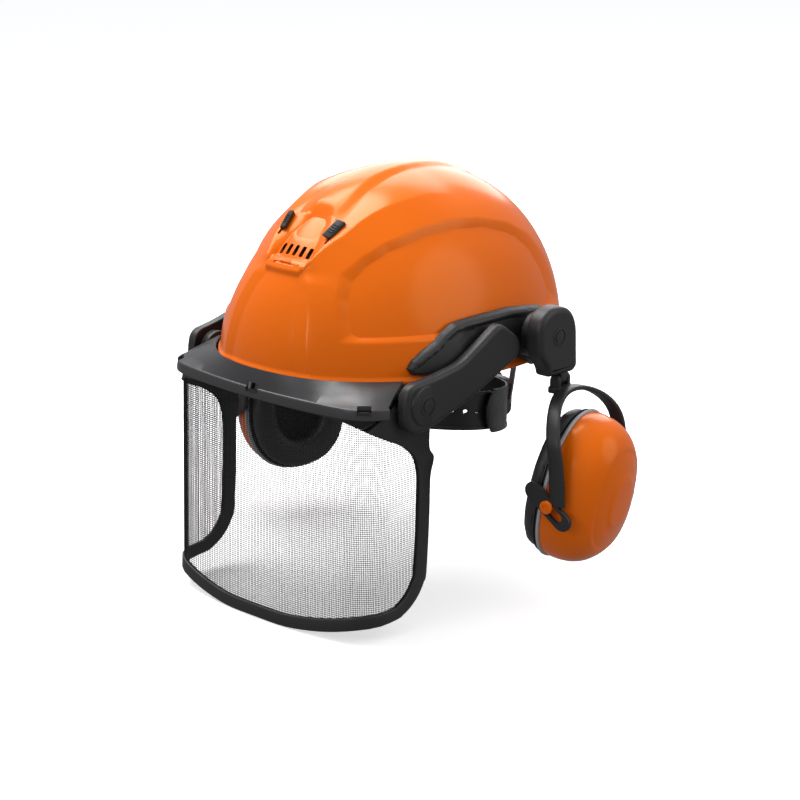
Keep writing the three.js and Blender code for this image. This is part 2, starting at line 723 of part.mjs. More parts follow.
function makeYoke(name, side) {
  const frame = muffFrame(name, side);
  const slope = at(Math.cos(radians(SLOT_SLOPE)), 0, Math.sin(radians(SLOT_SLOPE)));
  const pin = at(CUP_PIN.out, 0, CUP_PIN.down);
  const parts = [yokeBlade(), boxAt([-4, -8.5, -13], [4, 8.5, -4.6])];
  const holes = [rodY(1.5 + RUN, -20, 20, 0, 0)];
  for (const hand of [-1, 1]) {
    const [low, high] = [4.9, 8.5].map((y) => y * hand).sort((a, b) => a - b);
    parts.push(rodY(4, low, high, 0, 0), boxAt([-4, low, -6], [4, high, 0]));
    const [inner, outer] = [YOKE.span - 1.8, YOKE.span + 1.9].map((y) => y * hand);
    const [near, far] = [Math.min(inner, outer), Math.max(inner, outer)];
    const start = pin.clone().addScaledVector(slope, -16);
    parts.push(stadiumY([start.x, start.z], 32, 6.6, near, far));
    holes.push(stadiumY([pin.x, pin.z], CUP_PIN.travel, CUP_PIN.radius + 0.4, near - 1, far + 1));
  }
  meshOf(`muff_yoke_${name}`, cut(join(...parts), ...holes), "black", frame);
  meshOf(`yoke_hinge_pin_${name}`, rodY(1.5, -8.4, 8.4, 0, 0), "steel", frame);
  for (const [end, hand] of [["front", -1], ["rear", 1]]) {
    const [shaftLow, shaftHigh] = [CUP.halfWidth + 0.8, YOKE.span + 3].map((y) => y * hand);
    const [headLow, headHigh] = [YOKE.span + 2.2, YOKE.span + 4].map((y) => y * hand);
    const shaft = rodY(
      CUP_PIN.radius,
      Math.min(shaftLow, shaftHigh),
      Math.max(shaftLow, shaftHigh),
      pin.x,
      pin.z,
    );
    const head = rodY(
      CUP_PIN.headRadius,
      Math.min(headLow, headHigh),
      Math.max(headLow, headHigh),
      pin.x,
      pin.z,
    );
    meshOf(`cup_pin_${end}_${name}`, join(shaft, head), "orange", frame);
  }
  return frame;
}

const CUP_SIDES = 24;

// A ring of the cup's outline in its own frame, at a depth, grown or shrunk.
function cupRing(x, grow, scale = 1) {
  return ringOf(CUP_SIDES, (angle) => {
    const [wide, high] = [CUP.halfWidth + grow, CUP.halfHeight + grow];
    const [y, z] = superellipse(angle, wide * scale, high * scale, 2.25);
    const egg = 1 - 0.06 * (z / CUP.halfHeight);
    return at(x, y * egg, z);
  });
}

// A dome of the cup's outline from x = start, moved inwards by inset.
function cupDome(start, inset, levels) {
  return Array.from({ length: levels }, (_, i) => {
    const angle = (i / levels) * (Math.PI / 2);
    const power = 2 / 2.8;
    const deep = (CUP.depth - inset) * Math.sin(angle) ** power;
    return cupRing(start + deep, -inset, Math.cos(angle) ** power);
  });
}

function annulus(low, high, outer, wide, tall) {
  const rings = ringOf(CUP_SIDES, (angle) => {
    const edge = cupRing(0, outer)[Math.round((angle / (2 * Math.PI)) * CUP_SIDES)];
    const [y, z] = superellipse(angle, wide, tall, 2.25);
    return [at(low, edge.y, edge.z), at(high, edge.y, edge.z), at(high, y, z), at(low, y, z)];
  });
  return loft(rings, { loop: true });
}

function makeCup(name, frame) {
  const cup = new THREE.Group();
  cup.position.set(CUP.out, 0, CUP.down);
  cup.rotation.y = radians(CUP.tilt);
  frame.add(cup);
  const inner = cupDome(0, CUP.thick, 4).reverse();
  const outer = cupDome(0, 0, 6);
  const poles = [at(CUP.depth - CUP.thick, 0, 0), at(CUP.depth, 0, 0)];
  meshOf(`cup_shell_${name}`, loft([...inner, ...outer], { poles }), "orange", cup);
  meshOf(`cup_ring_${name}`, annulus(-3, -GAP, 0.6, 38, 51), "grey", cup);
  meshOf(`cup_plate_${name}`, annulus(-5.3, -3 - GAP, -1.5, 22, 34), "black", cup);
  const foam = [4, 18, 30].map((x, i) => cupRing(x, 0, [0.84, 0.8, 0.6][i]));
  meshOf(`cup_foam_${name}`, loft(foam, { poles: [at(4, 0, 0), at(30, 0, 0)] }), "foam", cup);
  meshOf(`cup_cushion_${name}`, cushionOf(-5.3 - GAP, 13), "satin", cup);
}

// The ear cushion: a padded ring whose section is a rounded box.
function cushionOf(base, thick) {
  const section = [[0, 0], [0.55, 0], [0.9, 0.2], [1, 0.5], [0.8, 0.85], [0.35, 1], [0, 0.8]];
  const rings = ringOf(CUP_SIDES, (angle) => {
    const edge = cupRing(0, -1.2)[Math.round((angle / (2 * Math.PI)) * CUP_SIDES)];
    const [y, z] = superellipse(angle, 19, 31, 2.25);
    return section.map(([out, depth]) =>
      at(base - thick * depth, y + (edge.y - y) * out, z + (edge.z - z) * out),
    );
  });
  return loft(rings, { loop: true });
}

// ---------------------------------------------------------------- assembly

makeShell();
makeShutter();
const STRAP_ANGLES = { side: 0, diagonal: 50, cross: 130 };
Object.entries(STRAP_ANGLES).forEach(([name, degrees], i) => {
  makeStrap(`crown_strap_${name}`, degrees, i * 3.2);
});
const CLIP_NAMES = ["left", "rear_left", "rear_right", "right", "front_right", "front_left"];
const clipAngles = [0, 180].flatMap((turn) => Object.values(STRAP_ANGLES).map((a) => a + turn));
CLIP_NAMES.forEach((name, i) => makeClip(`harness_clip_${name}`, clipAngles[i]));
makeHeadband();
makeNapeStrap("nape_strap_left", 1);
makeNapeStrap("nape_strap_right", -1);
makeVisor();
for (const [name, hand] of [["left", 1], ["right", -1]]) {
  const side = new THREE.Group();
  side.scale.x = hand;
  helmet.add(side);
  makeCarrier(name, side);
  makeArm(name, side);
  makeBlock(name, side);
  makeCup(name, makeYoke(name, side));
}

export default helmet;
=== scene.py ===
# Looks of the forestry helmet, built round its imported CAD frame.
# Sizes are millimetres in the frame's axes: +X the wearer's left, -Y the front, +Z up.
import json
import math

import bmesh
import bpy
import numpy as np
from mathutils import Matrix, Vector


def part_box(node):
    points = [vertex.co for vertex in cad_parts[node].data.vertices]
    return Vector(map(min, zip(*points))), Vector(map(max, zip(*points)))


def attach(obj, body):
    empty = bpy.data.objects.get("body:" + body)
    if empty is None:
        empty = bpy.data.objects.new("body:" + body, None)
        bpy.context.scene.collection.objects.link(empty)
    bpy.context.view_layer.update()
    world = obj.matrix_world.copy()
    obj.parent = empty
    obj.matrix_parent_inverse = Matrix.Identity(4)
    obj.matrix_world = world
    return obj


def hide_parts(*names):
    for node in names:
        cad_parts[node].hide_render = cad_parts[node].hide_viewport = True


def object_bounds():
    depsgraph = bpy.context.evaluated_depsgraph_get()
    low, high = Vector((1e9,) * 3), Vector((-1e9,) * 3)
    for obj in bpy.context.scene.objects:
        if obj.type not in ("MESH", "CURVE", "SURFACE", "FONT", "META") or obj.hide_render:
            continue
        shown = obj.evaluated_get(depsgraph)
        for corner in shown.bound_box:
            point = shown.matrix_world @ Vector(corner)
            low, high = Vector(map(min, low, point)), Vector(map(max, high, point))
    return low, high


MM = 0.001
SAME_POINT, NO_LENGTH = 1e-6, 1e-7  # metres
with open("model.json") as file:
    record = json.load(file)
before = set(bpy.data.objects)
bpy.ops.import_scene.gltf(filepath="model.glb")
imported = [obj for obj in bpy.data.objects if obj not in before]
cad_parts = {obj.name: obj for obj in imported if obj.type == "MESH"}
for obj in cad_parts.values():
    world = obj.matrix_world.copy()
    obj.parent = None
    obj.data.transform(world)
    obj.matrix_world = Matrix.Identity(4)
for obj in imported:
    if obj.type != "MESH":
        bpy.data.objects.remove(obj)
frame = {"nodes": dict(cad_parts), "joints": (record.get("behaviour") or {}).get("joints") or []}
cad_box = [list(corner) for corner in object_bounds()]
joints = {joint["name"]: joint for joint in frame["joints"]}


def box_mm(node):
    """A CAD node's lowest and highest corner in millimetres."""
    low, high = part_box(node)
    return np.array(low) / MM, np.array(high) / MM


def joint_mm(name):
    return np.array(joints[name]["pos_m"]) / MM


# ---------------------------------------------------------------- materials


class Nodes:
    """A material's node tree, built by short calls."""

    def __init__(self, name):
        self.material = bpy.data.materials.new(name)
        self.material.use_nodes = True
        self.tree = self.material.node_tree
        self.shader = self.tree.nodes["Principled BSDF"]
        self.place = self.tree.nodes.new("ShaderNodeTexCoord").outputs["Object"]

    def add(self, kind, inputs=None, **settings):
        node = self.tree.nodes.new("ShaderNode" + kind)
        for key, value in settings.items():
            setattr(node, key, value)
        for key, value in (inputs or {}).items():
            if isinstance(value, bpy.types.NodeSocket):
                self.tree.links.new(value, node.inputs[key])
            else:
                node.inputs[key].default_value = value
        return node

    def noise(self, size, detail=3.0, rough=0.5, place=None):
        """Noise whose features are about size millimetres across."""
        inputs = {"Vector": place or self.place, "Scale": 1 / (size * MM)}
        inputs |= {"Detail": detail, "Roughness": rough}
        return self.add("TexNoise", inputs).outputs["Fac"]

    def span(self, value, low, high, to_low, to_high):
        inputs = {"Value": value, "From Min": low, "From Max": high}
        inputs |= {"To Min": to_low, "To Max": to_high}
        return self.add("MapRange", inputs).outputs["Result"]

    def math(self, operation, *values):
        return self.add("Math", dict(enumerate(values)), operation=operation).outputs[0]

    def mix(self, factor, first, second):
        inputs = {0: factor, 6: first, 7: second}
        return self.add("Mix", inputs, data_type="RGBA").outputs[2]

    def set(self, **inputs):
        for key, value in inputs.items():
            socket = self.shader.inputs[key.replace("_", " ")]
            if isinstance(value, bpy.types.NodeSocket):
                self.tree.links.new(value, socket)
            else:
                socket.default_value = value

    def bump(self, height, depth, normal=None):
        """A bump of depth millimetres."""
        inputs = {"Height": height, "Distance": depth * MM, "Strength": 1.0}
        if normal:
            inputs["Normal"] = normal
        return self.add("Bump", inputs).outputs["Normal"]


def shade(colour, factor):
    return [channel * factor for channel in colour[:3]] + [1.0]


def moulded(
    name, colour, rough, *, grain=0.35, depth=0.012, tone=0.08, scuffs=0.1, gleam=0.5, vary=0.05
):
    """Moulded plastic: fine grain, a little unevenness of colour, and faint scuffs."""
    look = Nodes(name)
    broad = look.noise(42, 2)
    fine = look.noise(grain, 2)
    marks = look.span(look.noise(3.2, 6, 0.7), 0.58, 0.75, 0.0, 1.0)
    base = look.mix(broad, shade(colour, 1 - tone), shade(colour, 1 + tone))
    look.set(Base_Color=look.mix(look.math("MULTIPLY", marks, scuffs), base, shade(colour, 1.5)))
    rough_span = look.span(look.noise(11, 2), 0.3, 0.7, rough - vary, rough + vary)
    look.set(Roughness=look.math("ADD", rough_span, look.math("MULTIPLY", marks, scuffs * 0.6)))
    waves = look.bump(look.noise(16, 1), 0.03)
    look.set(Normal=look.bump(fine, depth, waves), Specular_IOR_Level=gleam)
    return look.material


def turned_steel(name, colour, rough):
    look = Nodes(name)
    rings = look.add("TexNoise", {"Vector": look.place, "Scale": 2200.0, "Detail": 2.0})
    look.set(
        Base_Color=look.mix(look.noise(9, 3), shade(colour, 0.8), shade(colour, 1.1)),
        Metallic=1.0,
        Roughness=look.span(look.noise(2, 3), 0.3, 0.7, rough - 0.08, rough + 0.1),
        Normal=look.bump(rings.outputs["Fac"], 0.004),
    )
    return look.material


def woven(name, colour, pitch, rough=0.8, depth=0.12):
    """Webbing: ribs across two slanted directions, as a twill has; the grooves between the ribs
    are painted darker as shade and the ribs lighter.
    """
    look = Nodes(name)
    waves = []
    for turn in (0.9, -0.9):
        turned = look.add("Mapping", {"Vector": look.place, "Rotation": (turn, 0.3, turn)})
        wave = look.add(
            "TexWave",
            {"Vector": turned.outputs[0], "Scale": 0.32 / (pitch * MM), "Distortion": 0.4},
        )
        waves.append(wave.outputs["Fac"])
    weave = look.math("MULTIPLY", *waves)
    fuzz = look.noise(0.5, 4, 0.7)
    # Painted shade: the colour darkens where the weave sinks and lightens on its raised ribs.
    tone = look.mix(weave, shade(colour, 0.6), shade(colour, 1.25))
    look.set(
        Base_Color=look.mix(look.math("MULTIPLY", fuzz, 0.3), tone, shade(colour, 1.6)),
        Roughness=look.span(fuzz, 0.2, 0.8, rough - 0.08, rough + 0.1),
        Normal=look.bump(look.math("ADD", weave, look.math("MULTIPLY", fuzz, 0.4)), depth),
        Sheen_Weight=0.25,
    )
    return look.material


def vinyl(name, colour, rough=0.42):
    """Soft skin: leather-like cells and small creases, the creases painted darker as shade and the
    raised skin lighter.
    """
    look = Nodes(name)
    cells = look.add(
        "TexVoronoi", {"Vector": look.place, "Scale": 900.0}, feature="DISTANCE_TO_EDGE"
    )
    edge = look.span(cells.outputs["Distance"], 0.0, 0.25, 0.0, 1.0)
    creases = look.noise(5, 4, 0.6)
    # Painted shade: the colour darkens where the creases sink and lightens where the skin rises.
    base = look.mix(creases, shade(colour, 0.75), shade(colour, 1.3))
    look.set(
        Base_Color=base,
        Roughness=look.span(creases, 0.3, 0.7, rough - 0.06, rough + 0.1),
        Normal=look.bump(creases, 0.25, look.bump(edge, 0.03)),
    )
    return look.material


def open_foam(name, colour):
    look = Nodes(name)
    cells = look.add("TexVoronoi", {"Vector": look.place, "Scale": 1400.0})
    pores = cells.outputs["Distance"]
    # Painted shade: the colour darkens in the sunk pits of the pores and lightens on their rims.
    look.set(
        Base_Color=look.mix(pores, shade(colour, 0.5), shade(colour, 1.4)),
        Roughness=look.span(look.noise(1.5), 0.3, 0.7, 0.86, 0.98),
        Normal=look.bump(pores, 0.3),
    )
    return look.material


ORANGE = (0.86, 0.15, 0.003)
BLACK = (0.014, 0.014, 0.0145)
looks = {
    "orange_shell": moulded(
        "orange_gloss", ORANGE, 0.22, grain=0.5, depth=0.001, tone=0.03, scuffs=0.004, vary=0.015
    ),
    "black_plastic": moulded(
        "black_moulded", BLACK, 0.46, grain=0.3, depth=0.02, scuffs=0.1, gleam=0.5
    ),
    "ledge_plastic": moulded(
        "ledge_moulded", (0.032, 0.032, 0.033), 0.36, grain=0.4, depth=0.02, gleam=0.6
    ),
    "seal_grey": moulded("seal_grey", (0.4, 0.41, 0.43), 0.45, depth=0.015),
    "mesh_wire": moulded(
        "coated_wire", (0.008, 0.008, 0.008), 0.5, grain=0.2, depth=0.004, gleam=0.25
    ),
    "pin_steel": turned_steel("pin_steel", (0.55, 0.56, 0.58), 0.32),
    "webbing": woven("webbing_black", (0.03, 0.03, 0.033), 1.2),
    "nape_webbing": woven("webbing_grey", (0.36, 0.37, 0.38), 1.1),
    "foam": open_foam("foam_dark", (0.04, 0.04, 0.043)),
    "cushion_skin": vinyl("cushion_vinyl", (0.026, 0.026, 0.028)),
    "sweat_skin": vinyl("sweat_vinyl", (0.035, 0.035, 0.038), 0.6),
}

# The shell's highlights take on the plastic's own warmth.
tinted = looks["orange_shell"].node_tree.nodes["Principled BSDF"]
tinted.inputs["Specular Tint"].default_value = (1.0, 0.62, 0.3, 1.0)

# ---------------------------------------------------------------- making meshes


def ramp(low, high, value):
    return np.clip((value - low) / (high - low), 0, 1)


def smooth(low, high, value):
    t = ramp(low, high, value)
    return t * t * (3 - 2 * t)


def loft(rings, loop=False, cap=True):
    """Points and faces through rings of equal length. A ring may shrink to a pole."""
    rings = np.asarray(rings, float)
    rows, count = rings.shape[:2]
    faces = []
    for i in range(rows if loop else rows - 1):
        here, there = i * count, (i + 1) % rows * count
        for j in range(count):
            k = (j + 1) % count
            faces.append((here + j, here + k, there + k, there + j))
    if not loop and cap:
        faces.append(tuple(range(count))[::-1])
        faces.append(tuple(range((rows - 1) * count, rows * count)))
    return rings.reshape(-1, 3), faces


def layer(ring, at, axis=0):
    """A flat ring set into space: at is its place along one axis, (u, v) fill the other two."""
    return np.insert(np.asarray(ring, float), axis, at, axis=1)


def joined(*parts):
    points, faces, start = [], [], 0
    for part_points, part_faces in parts:
        points.append(np.asarray(part_points))
        faces += [tuple(i + start for i in face) for face in part_faces]
        start += len(part_points)
    return np.vstack(points), faces


def mesh_of(name, shape, merge=False):
    """A mesh from points and faces in millimetres, its faces turned outwards."""
    points, faces = shape
    mesh = bpy.data.meshes.new(name)
    mesh.from_pydata((np.asarray(points) * MM).tolist(), [], faces)
    work = bmesh.new()
    work.from_mesh(mesh)
    if merge:
        bmesh.ops.remove_doubles(work, verts=work.verts, dist=SAME_POINT)
        bmesh.ops.dissolve_degenerate(work, dist=NO_LENGTH, edges=work.edges)
    bmesh.ops.recalc_face_normals(work, faces=work.faces)
    work.to_mesh(mesh)
    work.free()
    return mesh


def piece(name, shape, look, body, replaces=(), sharp=38):
    """A finished object from points and faces in millimetres, riding on a body."""
    mesh = mesh_of(name, shape, merge=True)
    soften(mesh, sharp)
    made = bpy.data.objects.new(name, mesh)
    bpy.context.scene.collection.objects.link(made)
    made.data.materials.append(looks[look])
    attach(made, body)
    if replaces:
        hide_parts(*replaces)
    return made


def soften(mesh, sharp):
    mesh.polygons.foreach_set("use_smooth", [True] * len(mesh.polygons))
    mesh.set_sharp_from_angle(angle=math.radians(sharp))


def evaluated(made):
    """The object's mesh with its modifiers applied."""
    graph = bpy.context.evaluated_depsgraph_get()
    mesh = bpy.data.meshes.new_from_object(made.evaluated_get(graph))
    made.modifiers.clear()
    made.data = mesh


def carve(made, shape, sharp=38):
    """Cuts the shape out of the object."""
    cutter = bpy.data.objects.new("cutter", mesh_of("cutter", shape))
    bpy.context.scene.collection.objects.link(cutter)
    modifier = made.modifiers.new("carve", "BOOLEAN")
    modifier.operation, modifier.solver, modifier.object = "DIFFERENCE", "EXACT", cutter
    evaluated(made)
    bpy.data.objects.remove(cutter)
    soften(made.data, sharp)


def rounded(corners, steps=7):
    """Corners [u, v, radius] as a closed outline, counter-clockwise, each corner curved."""
    shape = []
    for i, (u, v, radius) in enumerate(corners):
        corner = np.array([u, v], float)
        ends = []
        for other in (corners[i - 1], corners[(i + 1) % len(corners)]):
            way = np.array(other[:2], float) - corner
            length = np.linalg.norm(way)
            ends.append(corner + way / length * min(radius, 0.48 * length))
        for t in np.linspace(0, 1, steps + 1):
            shape.append((1 - t) ** 2 * ends[0] + 2 * t * (1 - t) * corner + t * t * ends[1])
    shape = np.array(shape)
    u, v = shape[:, 0], shape[:, 1]
    area = np.sum(u * np.roll(v, -1) - v * np.roll(u, -1))
    return shape if area > 0 else shape[::-1]


def inset(outline, by):
    """The outline moved inwards by a distance, which may be negative."""
    before, after = np.roll(outline, 1, 0), np.roll(outline, -1, 0)
    way = after - before
    way /= np.linalg.norm(way, axis=1, keepdims=True) + 1e-9
    return outline + by * np.stack([-way[:, 1], way[:, 0]], 1)


def plate(outline, low, high, edge=(1.0, 1.0), place=None, steps=5):
    """An outline in (y, z) given thickness along x, its rims rounded by edge at low and high."""
    rings = []
    for radius, start, hand in ((edge[0], low, 1), (edge[1], high, -1)):
        rows = [(radius + 0.9, 0.0)]
        for step in range(steps + 1):
            turn = math.pi / 2 * step / steps
            rows.append((radius * (1 - math.sin(turn)), radius * (1 - math.cos(turn))))
        block = [(by, start + hand * deep) for by, deep in rows]
        rings += block if hand > 0 else block[::-1]
    solid = []
    for by, x in rings:
        solid.append(layer(inset(outline, by), x))
    solid = np.array(solid)
    if place:
        solid = place(solid)
    return loft(solid)


def lathe(profile, centre, axis="x", sides=56):
    """A body of revolution: profile rows are (distance along the axis, radius)."""
    turn = np.linspace(0, 2 * math.pi, sides, endpoint=False)
    rings = []
    for along, radius in profile:
        ring = np.column_stack([radius * np.cos(turn), radius * np.sin(turn)])
        rings.append(layer(ring, along, "xy".index(axis)) + np.asarray(centre, float))
    return loft(rings)


def section(wide, tall, radius, steps=3):
    """A rounded rectangle round the origin, in (u, v)."""
    half_u, half_v = wide / 2, tall / 2
    corners = [[half_u, half_v], [-half_u, half_v], [-half_u, -half_v], [half_u, -half_v]]
    return rounded([[*corner, radius] for corner in corners], steps)


def sweep(path, across, normal, profile):
    """A profile (u along across, v along normal) carried along a path of points."""
    rings = []
    for point, u_way, v_way in zip(path, across, normal):
        rings.append(point + profile[:, :1] * u_way + profile[:, 1:] * v_way)
    return loft(rings)


def unit(vectors):
    vectors = np.asarray(vectors, float)
    return vectors / np.linalg.norm(vectors, axis=-1, keepdims=True)


def finer(points, times):
    """A curve through the points, each span cut into the given number of steps."""
    padded = np.vstack([2 * points[0] - points[1], points, 2 * points[-1] - points[-2]])
    found = []
    for i in range(len(points) - 1):
        p0, p1, p2, p3 = padded[i : i + 4]
        for t in np.linspace(0, 1, times, endpoint=False):
            square = (2 * p0 - 5 * p1 + 4 * p2 - p3) * t * t
            cubic = (3 * p1 - p0 - 3 * p2 + p3) * t**3
            found.append(0.5 * (2 * p1 + (p2 - p0) * t + square + cubic))
    return np.array([*found, points[-1]])


def mirrored(shape, hand):
    points, faces = shape
    return np.asarray(points) * [hand, 1, 1], faces


def superellipse(angle, wide, tall, power):
    c, s = np.cos(angle), np.sin(angle)
    reach = (np.abs(c / wide) ** power + np.abs(s / tall) ** power) ** (-1 / power)
    return reach * c, reach * s


# ---------------------------------------------------------------- shell

SKIN_COLUMNS, SKIN_ROWS, LINING_ROWS = 560, 190, 26
POLE = math.pi / 2 - 0.004  # the height angle of the crown's last ring
SHELL = dict(half=109.2, front=141.8, rear=137.7, height=135.6, shift=-1.6, lift=2.6, thick=3)


def dome(angle, height, grow=0.0):
    """The shell's surface at an angle round the plan (front at -90 degrees) and a height angle."""
    angle, height = np.broadcast_arrays(np.asarray(angle, float), np.asarray(height, float))
    c, s = np.cos(angle), np.sin(angle)
    ahead = 1 / (1 + np.exp(s / 0.25))
    long = SHELL["front"] * ahead + SHELL["rear"] * (1 - ahead) + grow
    x, y = superellipse(angle, SHELL["half"] + grow, long, 2.19 + 0.06 * ahead)
    to_front, to_rear = np.maximum(-s, 0) ** 2, np.maximum(s, 0) ** 2
    power = 1.83 * to_front + 2.25 * to_rear + 1.97 * c * c + 0.12 * to_front**6
    flat = np.cos(height) ** (2 / power)
    rise = np.maximum(np.sin(height), 0) ** (2 / power)
    taper = 1 - 0.03 * np.clip(-y / 140, 0, 1) ** 2
    rim = SHELL["lift"] * to_front * (1 - np.sin(height))
    z = (SHELL["height"] + grow) * rise + rim
    return np.stack([x * flat * taper, SHELL["shift"] + y * flat, z], -1)


def dome_at(y, z, grow=0.0):
    """The shell's half width at a place seen from the side."""
    y, z = np.broadcast_arrays(np.asarray(y, float), np.asarray(z, float))
    angle = np.linspace(-math.pi / 2, math.pi / 2, 181)[:, None]
    height = np.linspace(0, 1.25, 90)[None, :]
    grid = dome(angle, height, grow).reshape(-1, 3)
    found = np.empty(y.shape)
    for i in np.ndindex(y.shape):
        far = (grid[:, 1] - y[i]) ** 2 + (grid[:, 2] - max(z[i], 0)) ** 2
        near = np.argpartition(far, 6)[:6]
        weight = 1 / (far[near] + 0.05)
        found[i] = np.sum(grid[near, 0] * weight) / np.sum(weight)
    return found


def curve(along, across):
    """A table of points as a smooth curve that np.interp can read."""
    return tuple(finer(np.column_stack([along, across]).astype(float), 10).T)


# Lines of the shell's relief, seen from above or from the side.
CREST = curve(
    [-119, -112, -98, -90, -73, -57, -42, -18, 10], [16.5, 21, 28, 32, 35, 39, 43, 47, 52]
)
FLOOR = curve([-116, -104, -94, -84, -74], [18, 16, 12, 7, 2])
VALLEY = curve([-90, -84, -70, -52, -28], [23, 22, 22, 19, 17])
CREASE = curve([0, 6, 30, 45, 62, 73], [43, 42.5, 38, 35, 29, 21])
PANEL_IN = [
    (-110, 37), (-109.5, 46), (-106.5, 58), (-100, 69.5), (-89.5, 79), (-73, 87.5), (-45, 95.5),
    (-15, 98), (16, 95.6), (43, 85), (54, 73), (61, 56.7), (64, 38), (62, 37),
]  # fmt: skip
PANEL_OUT = [
    (-121.5, 30.5), (-119.5, 46), (-115, 60), (-106.5, 75), (-90, 86.6), (-73, 95), (-43, 103.5),
    (-17, 106), (11, 104), (40, 97.4), (63, 86), (79, 68), (88, 46), (90, 30.5),
]  # fmt: skip


def polygon_distance(y, z, polygon):
    """Distance from the polygon's edge, positive inside."""
    corners = np.array(polygon, float)
    best = np.full(y.shape, 1e9)
    inside = np.zeros(y.shape, bool)
    for first, second in zip(corners, np.roll(corners, -1, 0)):
        way = second - first
        t = ((y - first[0]) * way[0] + (z - first[1]) * way[1]) / (way @ way)
        t = np.clip(t, 0, 1)
        best = np.minimum(best, np.hypot(y - first[0] - t * way[0], z - first[1] - t * way[1]))
        crosses = (first[1] > z) != (second[1] > z)
        rise = second[1] - first[1] or 1e-9
        inside ^= crosses & (y < (second[0] - first[0]) * (z - first[1]) / rise + first[0])
    return np.where(inside, best, -best)


def relief(points, rim):
    """How far the shell's skin stands out of the plain dome."""
    x, y, z = np.abs(points[..., 0]), points[..., 1], points[..., 2]
    crest, floor = np.interp(y, *CREST), np.interp(y, *FLOOR)
    valley = np.where(y < -84, floor, np.interp(y, *VALLEY))
    scoop = -2.6 * smooth(-72, -92, y) * (1 - ramp(floor - 1, crest - 2, x)) * smooth(80, 81.8, z)
    pocket = -1.6 * smooth(-72, -88, y) * (1 - smooth(-96, -104, y)) * (1 - smooth(4, 15, x))
    lip = 2.3 * smooth(70.2, 73.2, z) * (1 - ramp(73.2, 81, z)) * (1 - smooth(-1, 2, x - crest))
    ridge = np.where(x < crest, ramp(valley, crest, x) ** 0.9, (1 - ramp(0, 24, x - crest)) ** 2)
    ridge *= 3.0 * smooth(-122, -112, y) * (1 - smooth(-45, 12, y))
    band = 2.4 * (1 - smooth(8, np.maximum(valley, 16), x))
    band = band * smooth(-90, -74, y) * (1 - smooth(30, 105, y))
    off = x - np.interp(z, *CREASE)
    crease = np.where(off < 0, 1 - ramp(0, 10, -off), 1 - ramp(0, 22, off))
    crease *= 2.2 * (1 - smooth(66, 76, z)) * (y < -60)
    outer, inner = polygon_distance(y, z, PANEL_OUT), polygon_distance(y, z, PANEL_IN)
    share = ramp(0, 1, outer / (np.maximum(outer, 0) + np.maximum(-inner, 0) + 1e-6))
    panel = -5.0 * (0.6 * share + 0.4 * smooth(0, 1, share))
    flange = 1.8 * (1 - smooth(1.6, 4.6, z - rim))
    front = y < -60
    return np.where(front, scoop + lip + pocket, 0) + ridge + band + crease + panel + flange


def make_shell():
    # The columns stand closer together at the front, where the relief is finest.
    turn = np.linspace(0, 2 * math.pi, 2001)
    dense = 1 + 2.2 * np.exp(-(((turn - math.pi) / 0.42) ** 2))
    share = np.concatenate([[0], np.cumsum((dense[1:] + dense[:-1]) / 2)])
    angle = np.interp(np.linspace(0, share[-1], SKIN_COLUMNS + 1), share, turn)[:-1] + math.pi / 2
    height = np.linspace(0, POLE, SKIN_ROWS)[:, None]
    skin = dome(angle, height)
    around = np.roll(skin, -1, 1) - np.roll(skin, 1, 1)
    normal = unit(np.cross(around, np.gradient(skin, axis=0)))
    rim = dome(angle, 0.0)[..., 2]
    skin = skin + normal * relief(skin, rim)[..., None]
    lining_height = np.linspace(0, POLE, LINING_ROWS)[::-1, None]
    lining = dome(angle, lining_height, -SHELL["thick"])
    edge, inner_edge = skin[0], lining[-1]
    turnover = [
        inner_edge * 0.9 + edge * 0.1 - [0, 0, 0.5],
        inner_edge * 0.5 + edge * 0.5 - [0, 0, 0.9],
        inner_edge * 0.1 + edge * 0.9 - [0, 0, 0.5],
    ]
    shell = piece(
        "shell_skin",
        loft([*lining, *turnover, *skin]),
        "orange_shell",
        "helmet",
        ["helmet_shell"],
        sharp=60,
    )
    slots = [vent_box((i - 2) * VENT_PITCH, 2.0, -3, VENT_SLOT, 1.3) for i in range(5)]
    for hand in (-1, 1):
        slots.append(vent_box(hand * BUTTON_X, BUTTON_ALONG - 5.5, -6, BUTTON_TRACK, 1.2))
    slots.append(vent_box(0, -12.2, 2.5, LIP_SLOT, 0.9))
    carve(shell, joined(*slots), 50)


# ---------------------------------------------------------------- front vents

vent_down = np.array(joints["vent_slide"]["axis"])
VENT_UP = -vent_down
VENT_OUT = np.array([0, -VENT_UP[2], VENT_UP[1]])
VENT = np.array([0, -110.2, 85.6])
VENT_PITCH = 6.6
BUTTON_X, BUTTON_ALONG = 23.8, 24
# Across, along and through the shell.
VENT_SLOT, BUTTON_TRACK, LIP_SLOT = (3.5, 9.0, 22), (2.6, 15, 16), (20, 2.2, 5)


def vent_place(points):
    """From (across, along the slope, out of the dome) to the frame."""
    points = np.asarray(points, float)
    x = points[..., :1] * [1, 0, 0]
    return VENT + x + points[..., 1:2] * VENT_UP + points[..., 2:] * VENT_OUT


def vent_box(x, along, out, size, radius):
    """A block in the vent's directions whose outline across the dome is rounded."""
    wide, long, high = size
    ring = section(wide, long, radius, 4) + [x, along]
    return loft([vent_place(layer(ring, out + e, 2)) for e in (-high / 2, high / 2)])


